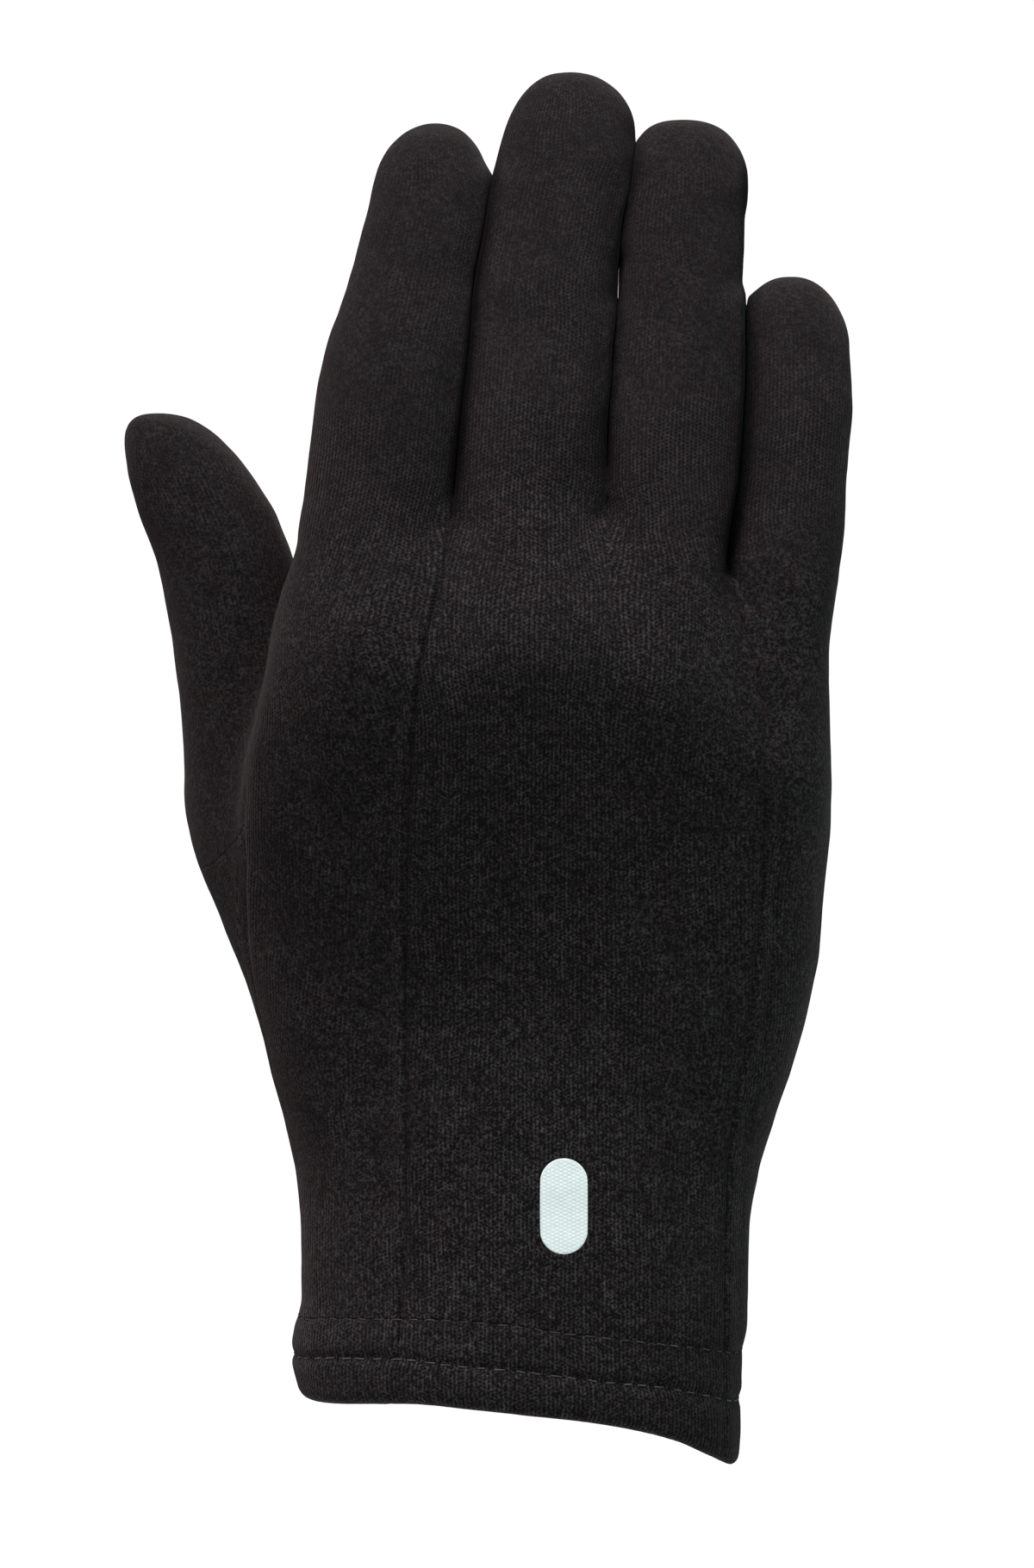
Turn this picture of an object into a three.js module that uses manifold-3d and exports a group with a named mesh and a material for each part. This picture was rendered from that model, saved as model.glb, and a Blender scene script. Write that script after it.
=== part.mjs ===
// A knitted glove liner for a right hand, in the full form that it has when worn.
// Millimetres, +Z towards the fingertips, -Y out of the back of the hand, -X towards the thumb.
// The origin is the centre of the wrist opening. The hand itself is left out, so the liner is hollow.
//
// The cloth is one hollow body: a hand block and five finger tubes are joined, and the same shapes, drawn in by
// the cloth's thickness, are taken out of them. It is then cut into its panels along the seams.
import * as THREE from "three";
import { mergeVertices } from "three/addons/utils/BufferGeometryUtils.js";
import Module from "manifold-3d";

const wasm = await Module();
wasm.setup();

// ---- Driving dimensions ----
const CLOTH = 1.4; // thickness of the brushed knit
const HEM_CLOTH = 2.8; // the turned-up hem is two layers
const SEAM = 0.3; // gap between neighbouring panels
const HAND_SIDES = { out: 34, in: 22 }; // corners of a section of the hand block, outside and inside
const FINGER_SIDES = { out: 14, in: 10 }; // corners of a section of a finger, outside and inside
const HEM_LEAN = 4.5; // degrees: the palm side of the hem sits higher than the back of it
const MARK = { x: 7.2, z: 35.4, width: 7.6, height: 15.2, thick: 0.5, proud: 0.3 };

// The hand block, from the wrist opening to the crotches of the fingers. left and right are its edges in X, back and
// palm its two faces in Y, and square is the exponent of the superellipse: 2 is an ellipse, more is boxier.
const HAND = [
  { z: -14, left: -34.8, right: 35.4, back: -19.2, palm: 19.5, square: 2.2 },
  { z: 6, left: -34.9, right: 36.3, back: -18.5, palm: 19.5, square: 2.2 },
  { z: 20, left: -34.9, right: 36.9, back: -17.2, palm: 19.6, square: 2.2 },
  { z: 32, left: -35.3, right: 37.2, back: -16.0, palm: 20.0, square: 2.2 },
  { z: 40, left: -36.0, right: 38.5, back: -15.5, palm: 20.6, square: 2.25 },
  { z: 48, left: -37.2, right: 40.8, back: -15.5, palm: 21.4, square: 2.3 },
  { z: 57, left: -38.6, right: 44.0, back: -15.9, palm: 22.0, square: 2.35 },
  { z: 66, left: -39.8, right: 46.6, back: -16.7, palm: 22.0, square: 2.4 },
  { z: 77, left: -41.2, right: 48.3, back: -18.0, palm: 21.0, square: 2.45 },
  { z: 88, left: -43.4, right: 49.1, back: -19.4, palm: 19.2, square: 2.5 },
  { z: 98, left: -44.8, right: 49.6, back: -20.7, palm: 17.0, square: 2.5 },
  { z: 107, left: -43.5, right: 49.8, back: -21.8, palm: 15.0, square: 2.5 },
  { z: 115, left: -41.8, right: 49.5, back: -22.2, palm: 13.2, square: 2.5 },
  { z: 122, left: -40.4, right: 49.4, back: -21.0, palm: 11.8, square: 2.5 },
  { z: 129, left: -39.2, right: 47.8, back: -17.8, palm: 10.4, square: 2.5 },
  { z: 133.5, left: -37.8, right: 43.0, back: -15.4, palm: 9.6, square: 2.45 },
  { z: 138, left: -35.6, right: 34.0, back: -12.9, palm: 8.9, square: 2.4 },
  { z: 145, left: -33.0, right: 33.0, back: -9.6, palm: 7.6, square: 2.3 },
  { z: 149.5, left: -31.0, right: 32.0, back: -7.2, palm: 5.6, square: 2.3 },
  { z: 151.8, left: -28.0, right: 29.0, back: -4.6, palm: 2.8, square: 2.2 },
];

// Each finger: x, y, z is the section's centre, half its half width, deep its half depth. tilt leans the section, in
// degrees, and is 0 on the four fingers, whose sections are level.
const FINGERS = {
  index: [
    { x: -24.4, y: -9.0, z: 113.0, half: 11.6, deep: 10.8, tilt: 0 },
    { x: -23.8, y: -9.1, z: 122.0, half: 11.8, deep: 10.7, tilt: 0 },
    { x: -23.4, y: -7.8, z: 130.0, half: 12.0, deep: 10.6, tilt: 0 },
    { x: -23.2, y: -5.8, z: 138.0, half: 12.0, deep: 10.5, tilt: 0 },
    { x: -22.9, y: -3.9, z: 144.5, half: 11.9, deep: 10.3, tilt: 0 },
    { x: -22.4, y: -2.8, z: 150.5, half: 11.7, deep: 10.0, tilt: 0 },
    { x: -21.1, y: -2.2, z: 162.4, half: 11.6, deep: 9.8, tilt: 0 },
    { x: -19.6, y: -1.2, z: 173.6, half: 11.2, deep: 9.6, tilt: 0 },
    { x: -17.4, y: 0.8, z: 183.6, half: 10.0, deep: 9.0, tilt: 0 },
    { x: -15.7, y: 2.5, z: 191.1, half: 9.7, deep: 8.6, tilt: 0 },
    { x: -14.5, y: 4.2, z: 196.9, half: 9.3, deep: 8.3, tilt: 0 },
    { x: -13.6, y: 5.5, z: 201.4, half: 8.8, deep: 7.7, tilt: 0 },
    { x: -13.7, y: 6.4, z: 204.2, half: 7.8, deep: 6.9, tilt: 0 },
    { x: -14.0, y: 7.4, z: 206.9, half: 5.9, deep: 5.3, tilt: 0 },
    { x: -13.9, y: 8.0, z: 208.5, half: 3.8, deep: 3.5, tilt: 0 },
    { x: -13.7, y: 8.4, z: 209.4, half: 0, deep: 0, tilt: 0 },
  ],
  middle: [
    { x: 1.0, y: -10.9, z: 113.0, half: 12.2, deep: 11.0, tilt: 0 },
    { x: 1.1, y: -11.0, z: 122.0, half: 12.3, deep: 11.0, tilt: 0 },
    { x: 1.3, y: -9.4, z: 130.0, half: 12.4, deep: 11.0, tilt: 0 },
    { x: 1.5, y: -6.9, z: 138.0, half: 12.3, deep: 10.8, tilt: 0 },
    { x: 1.7, y: -4.7, z: 144.5, half: 12.2, deep: 10.5, tilt: 0 },
    { x: 1.9, y: -3.5, z: 150.5, half: 12.0, deep: 10.2, tilt: 0 },
    { x: 2.4, y: -2.5, z: 159.7, half: 11.7, deep: 10.0, tilt: 0 },
    { x: 3.4, y: -1.8, z: 171.5, half: 11.5, deep: 10.0, tilt: 0 },
    { x: 4.3, y: -0.1, z: 183.6, half: 11.3, deep: 9.4, tilt: 0 },
    { x: 5.3, y: 1.8, z: 191.1, half: 11.0, deep: 9.0, tilt: 0 },
    { x: 6.3, y: 3.6, z: 196.9, half: 11.1, deep: 8.8, tilt: 0 },
    { x: 7.2, y: 5.2, z: 201.9, half: 11.0, deep: 8.4, tilt: 0 },
    { x: 8.1, y: 7.0, z: 206.9, half: 10.2, deep: 7.7, tilt: 0 },
    { x: 8.6, y: 8.6, z: 211.4, half: 9.0, deep: 6.5, tilt: 0 },
    { x: 8.5, y: 9.6, z: 215.0, half: 6.9, deep: 4.8, tilt: 0 },
    { x: 8.4, y: 10.2, z: 216.8, half: 4.6, deep: 3.2, tilt: 0 },
    { x: 8.5, y: 10.5, z: 217.6, half: 0, deep: 0, tilt: 0 },
  ],
  ring: [
    { x: 23.9, y: -10.4, z: 111.0, half: 10.2, deep: 10.4, tilt: 0 },
    { x: 23.9, y: -10.4, z: 120.0, half: 10.3, deep: 10.4, tilt: 0 },
    { x: 24.0, y: -8.9, z: 128.0, half: 10.3, deep: 10.3, tilt: 0 },
    { x: 24.2, y: -6.6, z: 136.0, half: 10.3, deep: 10.2, tilt: 0 },
    { x: 24.5, y: -4.4, z: 144.0, half: 10.3, deep: 10.0, tilt: 0 },
    { x: 24.8, y: -3.0, z: 152.4, half: 10.4, deep: 9.7, tilt: 0 },
    { x: 25.2, y: -2.2, z: 162.4, half: 10.6, deep: 9.5, tilt: 0 },
    { x: 25.8, y: -1.0, z: 173.1, half: 10.5, deep: 9.3, tilt: 0 },
    { x: 26.1, y: 0.8, z: 183.6, half: 10.0, deep: 8.9, tilt: 0 },
    { x: 26.6, y: 3.0, z: 192.5, half: 9.7, deep: 8.5, tilt: 0 },
    { x: 27.3, y: 5.0, z: 199.6, half: 9.1, deep: 7.9, tilt: 0 },
    { x: 27.1, y: 6.6, z: 204.4, half: 8.4, deep: 6.9, tilt: 0 },
    { x: 26.7, y: 7.7, z: 207.2, half: 6.9, deep: 5.5, tilt: 0 },
    { x: 26.4, y: 8.4, z: 209.1, half: 4.5, deep: 3.6, tilt: 0 },
    { x: 26.2, y: 8.8, z: 210.0, half: 0, deep: 0, tilt: 0 },
  ],
  little: [
    { x: 41.0, y: -7.2, z: 112.0, half: 8.7, deep: 9.2, tilt: 0 },
    { x: 41.3, y: -7.1, z: 121.0, half: 8.8, deep: 9.2, tilt: 0 },
    { x: 41.9, y: -5.6, z: 131.0, half: 9.2, deep: 9.0, tilt: 0 },
    { x: 43.0, y: -3.3, z: 141.1, half: 9.2, deep: 8.6, tilt: 0 },
    { x: 44.0, y: -1.3, z: 151.8, half: 8.8, deep: 8.3, tilt: 0 },
    { x: 44.8, y: 0.8, z: 162.4, half: 8.6, deep: 7.9, tilt: 0 },
    { x: 45.0, y: 2.6, z: 171.6, half: 8.3, deep: 7.4, tilt: 0 },
    { x: 44.8, y: 3.8, z: 176.4, half: 7.9, deep: 6.9, tilt: 0 },
    { x: 44.4, y: 4.7, z: 179.6, half: 7.1, deep: 6.1, tilt: 0 },
    { x: 43.9, y: 5.5, z: 182.4, half: 5.4, deep: 4.7, tilt: 0 },
    { x: 43.8, y: 6.0, z: 184.0, half: 3.2, deep: 2.9, tilt: 0 },
    { x: 43.8, y: 6.3, z: 184.9, half: 0, deep: 0, tilt: 0 },
  ],
  thumb: [
    { x: -22.6, y: 3.0, z: 48.0, half: 12.0, deep: 11.0, tilt: 21 },
    { x: -26.4, y: 4.6, z: 56.9, half: 12.6, deep: 12.4, tilt: 21 },
    { x: -30.6, y: 7.0, z: 68.1, half: 11.9, deep: 13.6, tilt: 21 },
    { x: -35.0, y: 9.2, z: 79.2, half: 11.7, deep: 13.6, tilt: 20 },
    { x: -39.4, y: 10.8, z: 90.3, half: 12.2, deep: 12.8, tilt: 14 },
    { x: -41.9, y: 11.8, z: 99.5, half: 11.7, deep: 11.8, tilt: 7 },
    { x: -42.7, y: 12.2, z: 108.5, half: 11.3, deep: 10.9, tilt: 4 },
    { x: -43.8, y: 12.4, z: 118.1, half: 10.9, deep: 10.2, tilt: 6 },
    { x: -45.3, y: 12.6, z: 128.5, half: 10.3, deep: 9.8, tilt: 10 },
    { x: -47.5, y: 13.0, z: 138.3, half: 10.4, deep: 9.5, tilt: 15 },
    { x: -50.6, y: 13.7, z: 146.4, half: 10.1, deep: 8.9, tilt: 18 },
    { x: -53.0, y: 14.4, z: 151.2, half: 9.1, deep: 8.1, tilt: 18 },
    { x: -55.4, y: 15.2, z: 156.0, half: 7.8, deep: 6.9, tilt: 18 },
    { x: -57.3, y: 15.9, z: 159.6, half: 6.0, deep: 5.3, tilt: 18 },
    { x: -58.4, y: 16.3, z: 161.9, half: 3.8, deep: 3.4, tilt: 18 },
    { x: -58.8, y: 16.5, z: 163.1, half: 0, deep: 0, tilt: 18 },
  ],
};

// The hem's own block, a little fuller than the hand block on the thumb side.
const HEM = [
  { z: -14, left: -33.4, right: 35.2, back: -19.4, palm: 19.2, square: 2.2 },
  { z: -5, left: -33.8, right: 35.8, back: -19.7, palm: 19.6, square: 2.2 },
  { z: 3, left: -35.0, right: 35.9, back: -19.9, palm: 20.0, square: 2.2 },
  { z: 10, left: -36.4, right: 35.9, back: -19.5, palm: 20.2, square: 2.2 },
  { z: 15.5, left: -36.1, right: 36.8, back: -18.9, palm: 20.0, square: 2.2 },
  { z: 32, left: -35.3, right: 37.2, back: -16.4, palm: 20.2, square: 2.2 },
  { z: 40, left: -36.0, right: 38.5, back: -15.5, palm: 20.6, square: 2.2 },
];

// Lines drawn on the back of the hand, seen from the front. The hem's top is its upper row of stitches.
const HEM_TOP = [
  { x: -70, z: 15.3 },
  { x: -36, z: 15.5 },
  { x: -30, z: 16.4 },
  { x: -14.2, z: 17.1 },
  { x: -2.2, z: 16.4 },
  { x: 7.1, z: 15.1 },
  { x: 14.3, z: 14.2 },
  { x: 21.9, z: 13.1 },
  { x: 30, z: 11.6 },
  { x: 36, z: 10.2 },
  { x: 70, z: 9.6 },
];
const HEM_BOTTOM = [
  { x: -70, z: 1.9 },
  { x: -36, z: 2.1 },
  { x: -30, z: 2.5 },
  { x: -16.8, z: 3.1 },
  { x: -7.1, z: 2.1 },
  { x: 1.1, z: 1.2 },
  { x: 9.2, z: 0.3 },
  { x: 17.2, z: -1.1 },
  { x: 25.3, z: -3.4 },
  { x: 30.7, z: -6.1 },
  { x: 36, z: -9.0 },
  { x: 70, z: -9.4 },
];
// The two long seams of the back. Each runs from between two fingertips, down the slit, and on to the hem.
const SEAM_INDEX = [
  { x: -5.8, z: 240 },
  { x: -4.4, z: 203 },
  { x: -5.0, z: 196.9 },
  { x: -5.8, z: 191.1 },
  { x: -7.2, z: 183.6 },
  { x: -8.1, z: 173.6 },
  { x: -9.4, z: 162.4 },
  { x: -10.5, z: 150.0 },
  { x: -12.1, z: 140.3 },
  { x: -15.6, z: 126.4 },
  { x: -17.2, z: 118.1 },
  { x: -18.1, z: 104.2 },
  { x: -18.3, z: 90.3 },
  { x: -18.3, z: 55.6 },
  { x: -18.6, z: 34.7 },
  { x: -19.3, z: 17.1 },
  { x: -20.8, z: -20 },
];
const SEAM_LITTLE = [
  { x: 38.8, z: 240 },
  { x: 37.9, z: 187.5 },
  { x: 36.8, z: 178.0 },
  { x: 36.4, z: 171.6 },
  { x: 36.0, z: 162.4 },
  { x: 35.1, z: 151.8 },
  { x: 34.2, z: 141.1 },
  { x: 34.0, z: 136.8 },
  { x: 35.3, z: 131.9 },
  { x: 37.2, z: 126.4 },
  { x: 40.0, z: 118.1 },
  { x: 41.0, z: 109.7 },
  { x: 40.4, z: 90.3 },
  { x: 39.2, z: 73.3 },
  { x: 37.9, z: 62.6 },
  { x: 36.0, z: 52.1 },
  { x: 34.9, z: 41.5 },
  { x: 34.4, z: 28.0 },
  { x: 34.2, z: -20 },
];
// The side seam, seen from the side: it parts the back panels from the palm panel.
const SEAM_SIDE = [
  { y: 0.3, z: -20 },
  { y: 0.8, z: 14 },
  { y: 2.0, z: 46 },
  { y: 2.0, z: 60 },
  { y: -1.0, z: 77 },
  { y: -4.4, z: 91 },
  { y: -5.0, z: 106 },
  { y: -4.9, z: 122 },
  { y: -3.8, z: 140 },
  { y: -2.8, z: 151 },
  { y: -2.2, z: 162 },
  { y: -1.0, z: 173 },
  { y: 0.9, z: 184 },
  { y: 3.0, z: 192 },
  { y: 5.5, z: 200 },
  { y: 8.2, z: 208 },
  { y: 11.0, z: 218 },
  { y: 14.0, z: 240 },
];
// The same on the little finger's side, where the finger lies further towards the palm at its tip.
const SEAM_SIDE_LITTLE = [
  { y: 0.3, z: -20 },
  { y: 0.8, z: 14 },
  { y: 2.0, z: 46 },
  { y: 2.0, z: 60 },
  { y: -1.0, z: 77 },
  { y: -3.4, z: 91 },
  { y: -4.6, z: 106 },
  { y: -4.7, z: 122 },
  { y: -3.4, z: 140 },
  { y: -1.4, z: 151 },
  { y: 0.6, z: 162 },
  { y: 3.0, z: 173 },
  { y: 6.2, z: 184 },
  { y: 24.0, z: 240 },
];
// The seam that sets the thumb into the palm, seen from the front: from the web between thumb and index finger
// down along the fold, then out to the edge of the hand.
const SEAM_THUMB = [
  { x: -35.2, z: 240 },
  { x: -35.2, z: 147 },
  { x: -35.9, z: 141 },
  { x: -38.2, z: 131 },
  { x: -39.4, z: 123 },
  { x: -40.6, z: 114 },
  { x: -41.4, z: 106 },
  { x: -43.2, z: 98 },
  { x: -45.2, z: 94 },
  { x: -49, z: 90 },
  { x: -75, z: 78 },
];

// ---- Shapes ----

// A closed solid through rings of points, all with as many points, given from the bottom up. A ring of one point is an apex.
function loft(rings) {
  const points = [], faces = [], starts = [];
  for (const ring of rings) {
    starts.push(points.length);
    points.push(...ring);
  }
  const middle = (ring) => ring.reduce((s, p) => s.add(p), new THREE.Vector3()).divideScalar(ring.length);
  for (let k = 0; k + 1 < rings.length; k++) {
    const n = rings[k].length, a = starts[k], b = starts[k + 1];
    for (let i = 0; i < n; i++) {
      const j = (i + 1) % n;
      if (rings[k + 1].length === 1) faces.push([a + i, a + j, b]);
      else faces.push([a + i, a + j, b + j], [a + i, b + j, b + i]);
    }
  }
  const cap = (k, up) => {
    const n = rings[k].length;
    if (n === 1) return;
    const c = points.length;
    points.push(middle(rings[k]));
    for (let i = 0; i < n; i++) {
      const j = (i + 1) % n;
      faces.push(up ? [starts[k] + i, starts[k] + j, c] : [starts[k] + j, starts[k] + i, c]);
    }
  };
  cap(0, false);
  cap(rings.length - 1, true);
  const geometry = new THREE.BufferGeometry().setFromPoints(points);
  geometry.setIndex(faces.flat());
  return geometry;
}

// A level section of the hand block, drawn in by inset.
function handRing(row, inset, sides = HAND_SIDES.out) {
  const cx = (row.left + row.right) / 2, a = (row.right - row.left) / 2 - inset;
  const cy = (row.back + row.palm) / 2, b = (row.palm - row.back) / 2 - inset;
  const ring = [];
  for (let i = 0; i < sides; i++) {
    const t = (2 * Math.PI * i) / sides, c = Math.cos(t), s = Math.sin(t), e = 2 / row.square;
    ring.push(new THREE.Vector3(cx + a * Math.sign(c) * Math.abs(c) ** e, cy + b * Math.sign(s) * Math.abs(s) ** e, row.z));
  }
  return ring;
}

function handBlock(rows, inset, hollow = false) {
  const top = rows.length - 1, sides = hollow ? HAND_SIDES.in : HAND_SIDES.out;
  const rings = rows.map((row, k) => {
    const lowered = k >= top - 1 ? inset * (k - top + 2) / 2 : 0; // the top is drawn down as the sides are drawn in
    return handRing({ ...row, z: row.z - lowered }, inset, sides);
  });
  if (hollow) rings.unshift(handRing({ ...rows[0], z: rows[0].z - 8 }, inset, sides));
  return loft(rings);
}

// A finger, drawn in by inset. On the rounded tip, a section moves down as well as in.
function finger(rows, inset, hollow = false) {
  const sides = hollow ? FINGER_SIDES.in : FINGER_SIDES.out;
  const widest = rows.map((_, k) => Math.max(...rows.slice(Math.max(0, k - 3), k + 1).map((r) => r.half)));
  const rings = rows.map((row, k) => {
    const lean = THREE.MathUtils.degToRad(row.tilt);
    const flat = Math.min(1, row.half / widest[k]), down = inset * Math.sqrt(1 - flat * flat) * (flat < 0.97 ? 1 : 0);
    const x = row.x + down * Math.sin(lean), z = row.z - down * Math.cos(lean);
    if (row.half === 0) return [new THREE.Vector3(row.x + inset * Math.sin(lean), row.y, row.z - inset * Math.cos(lean))];
    const half = row.half - inset * flat, deep = row.deep - inset * flat;
    const ring = [];
    for (let i = 0; i < sides; i++) {
      const t = (2 * Math.PI * (i + 0.5)) / sides;
      const across = half * Math.cos(t);
      ring.push(new THREE.Vector3(x + across * Math.cos(lean), row.y + deep * Math.sin(t), z + across * Math.sin(lean)));
    }
    return ring;
  });
  return loft(rings);
}

// A plate seen from the front: the outline in X and Z, from y = near to y = far.
function plateXZ(outline, near, far) {
  const shape = new THREE.Shape(outline.map((p) => new THREE.Vector2(p.x, p.z)));
  return new THREE.ExtrudeGeometry(shape, { depth: far - near, bevelEnabled: false })
    .rotateX(Math.PI / 2) // (x, y, depth) becomes (x, -depth, y)
    .translate(0, far, 0);
}

// A plate seen from the side: the outline in Y and Z, from x = -90 to 90.
function plateYZ(outline) {
  const shape = new THREE.Shape(outline.map((p) => new THREE.Vector2(p.y, p.z)));
  return new THREE.ExtrudeGeometry(shape, { depth: 180, bevelEnabled: false })
    .rotateX(Math.PI / 2)
    .rotateZ(Math.PI / 2) // (y, z, depth) becomes (depth, y, z)
    .translate(-90, 0, 0);
}

// ---- Solids ----

function solid(geometry) {
  const bare = geometry.clone();
  for (const name of Object.keys(bare.attributes)) if (name !== "position") bare.deleteAttribute(name);
  const merged = mergeVertices(bare, 1e-4);
  return new wasm.Manifold(
    new wasm.Mesh({
      numProp: 3,
      vertProperties: new Float32Array(merged.attributes.position.array),
      triVerts: new Uint32Array(merged.index.array),
    }),
  );
}

function meshOf(name, manifold, material) {
  const m = manifold.getMesh(), n = m.numProp, v = new Float32Array(m.numVert * 3);
  for (let i = 0; i < m.numVert; i++) for (let k = 0; k < 3; k++) v[3 * i + k] = m.vertProperties[n * i + k];
  const geometry = new THREE.BufferGeometry();
  geometry.setAttribute("position", new THREE.BufferAttribute(v, 3));
  geometry.setIndex(new THREE.BufferAttribute(new Uint32Array(m.triVerts), 1));
  geometry.computeVertexNormals();
  const mesh = new THREE.Mesh(geometry, material);
  mesh.name = name;
  return mesh;
}

const joined = (parts) => parts.reduce((a, b) => a.add(b));
const moved = (line, dx, dz = 0) => line.map((p) => ({ x: p.x + dx, z: p.z + dz }));

const outer = joined([
  solid(handBlock(HAND, 0)),
  ...Object.values(FINGERS).map((rows) => solid(finger(rows, 0))),
]);
const inner = joined([
  solid(handBlock(HAND, CLOTH, true)),
  ...Object.values(FINGERS).map((rows) => solid(finger(rows, CLOTH, true))),
]);
const cloth = outer.subtract(inner);

// Everything above the hem's top line, and the hem's own slice. The hem leans: its cuts rise towards the palm.
const lean = (geometry) =>
  geometry.translate(0, 20, 0).rotateX(THREE.MathUtils.degToRad(HEM_LEAN)).translate(0, -20, 0);
const FAR_UP = [{ x: 70, z: 260 }, { x: -70, z: 260 }];
const aboveHem = solid(lean(plateXZ([...moved(HEM_TOP, 0, SEAM / 2), ...FAR_UP], -80, 80)));
const hemSlice = solid(
  lean(plateXZ([...HEM_BOTTOM, ...moved(HEM_TOP, 0, -SEAM / 2).reverse()], -80, 80)),
);
const hem = solid(handBlock(HEM, 0)).subtract(solid(handBlock(HEM, HEM_CLOTH, true))).intersect(hemSlice);

// The back is everything on the -Y side of the side seam, moved by shift in Y.
const backOf = (line, shift) =>
  solid(plateYZ([...line.map((p) => ({ y: p.y + shift, z: p.z })), { y: -90, z: 240 }, { y: -90, z: -20 }]));
const gap = SEAM / 2;
const between = (a, b) => solid(plateXZ([...a, ...[...b].reverse()], -90, 90));
const edge = (x) => [{ x, z: 240 }, { x, z: -20 }];
const indexSide = between(edge(-90), moved(SEAM_INDEX, -gap));
const centre = between(moved(SEAM_INDEX, gap), moved(SEAM_LITTLE, -gap));
const littleSide = between(moved(SEAM_LITTLE, gap), edge(90));
const littleHalf = between(moved(SEAM_LITTLE, -0.1), edge(95)), otherHalf = between(edge(-95), moved(SEAM_LITTLE, 0.1));
const thumbSide = solid(plateXZ([...moved(SEAM_THUMB, -gap), { x: -95, z: 78 }, { x: -95, z: 240 }], -90, 90));
const thumbSideWide = solid(plateXZ([...moved(SEAM_THUMB, gap, -gap), { x: -95, z: 78 - gap }, { x: -95, z: 240 }], -90, 90));

const body = cloth.intersect(aboveHem);
const back = body.intersect(backOf(SEAM_SIDE, -gap)), littleBack = body.intersect(backOf(SEAM_SIDE_LITTLE, -gap));
const palm = body
  .subtract(backOf(SEAM_SIDE, gap).intersect(otherHalf))
  .subtract(backOf(SEAM_SIDE_LITTLE, gap).intersect(littleHalf));

// The mark is a thin plain lozenge with round ends, just proud of the back panel.
const markShape = (() => {
  const r = MARK.width / 2, h = MARK.height / 2 - r, outline = [];
  for (let i = 0; i <= 8; i++) outline.push({ x: MARK.x + r * Math.cos((Math.PI * i) / 8), z: MARK.z + h + r * Math.sin((Math.PI * i) / 8) });
  for (let i = 8; i <= 16; i++) outline.push({ x: MARK.x + r * Math.cos((Math.PI * i) / 8), z: MARK.z - h + r * Math.sin((Math.PI * i) / 8) });
  return outline;
})();
const mark = solid(handBlock(HAND, -MARK.proud - MARK.thick))
  .subtract(solid(handBlock(HAND, -MARK.proud)))
  .intersect(solid(plateXZ(markShape, -60, 0)));

// ---- The part ----
const knit = new THREE.MeshStandardMaterial({ color: 0x272424, roughness: 0.95, metalness: 0 });
const hemKnit = new THREE.MeshStandardMaterial({ color: 0x292626, roughness: 0.95, metalness: 0 });
const print = new THREE.MeshStandardMaterial({ color: 0xd3ebe6, roughness: 0.6, metalness: 0 });

const glove = new THREE.Group();
glove.add(
  meshOf("back_panel", back.intersect(centre), knit),
  meshOf("index_side_panel", back.intersect(indexSide), knit),
  meshOf("little_side_panel", littleBack.intersect(littleSide), knit),
  meshOf("palm_panel", palm.subtract(thumbSideWide), knit),
  meshOf("thumb", palm.intersect(thumbSide), knit),
  meshOf("hem", hem, hemKnit),
  meshOf("printed_mark", mark, print),
);
export default glove;
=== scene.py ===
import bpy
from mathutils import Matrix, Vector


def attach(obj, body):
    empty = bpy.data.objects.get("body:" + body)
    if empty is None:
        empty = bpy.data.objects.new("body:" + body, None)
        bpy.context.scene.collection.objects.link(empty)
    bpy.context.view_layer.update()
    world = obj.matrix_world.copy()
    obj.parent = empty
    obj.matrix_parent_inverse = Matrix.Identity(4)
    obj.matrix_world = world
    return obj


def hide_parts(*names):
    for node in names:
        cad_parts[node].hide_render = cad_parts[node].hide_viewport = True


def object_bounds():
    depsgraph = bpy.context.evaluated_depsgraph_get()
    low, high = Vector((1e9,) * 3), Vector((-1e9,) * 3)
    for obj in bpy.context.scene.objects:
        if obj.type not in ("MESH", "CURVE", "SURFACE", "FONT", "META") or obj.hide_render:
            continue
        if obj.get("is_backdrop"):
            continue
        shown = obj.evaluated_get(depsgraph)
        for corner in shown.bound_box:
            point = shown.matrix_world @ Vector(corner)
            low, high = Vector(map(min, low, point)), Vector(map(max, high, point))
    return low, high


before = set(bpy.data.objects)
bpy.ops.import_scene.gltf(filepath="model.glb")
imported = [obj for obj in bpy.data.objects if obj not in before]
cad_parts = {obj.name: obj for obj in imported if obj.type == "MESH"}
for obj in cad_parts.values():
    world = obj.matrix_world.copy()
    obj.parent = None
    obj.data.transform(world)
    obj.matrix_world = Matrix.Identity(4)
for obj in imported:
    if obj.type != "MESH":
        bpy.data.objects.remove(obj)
cad_box = [list(map(float, c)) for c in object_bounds()]

import math
import time

import bpy
import numpy as np

T0 = time.time()
MM = 0.001

# ------------------------------------------------------------------------------------------------------------------
# Tables, in millimetres. The frame is the CAD's: +Z to the fingertips, -Y out of the back of the hand, -X to the thumb.
# ------------------------------------------------------------------------------------------------------------------
ZT = np.arange(-60.0, 280.0, 0.25)  # every curve over z is sampled once, here


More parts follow.
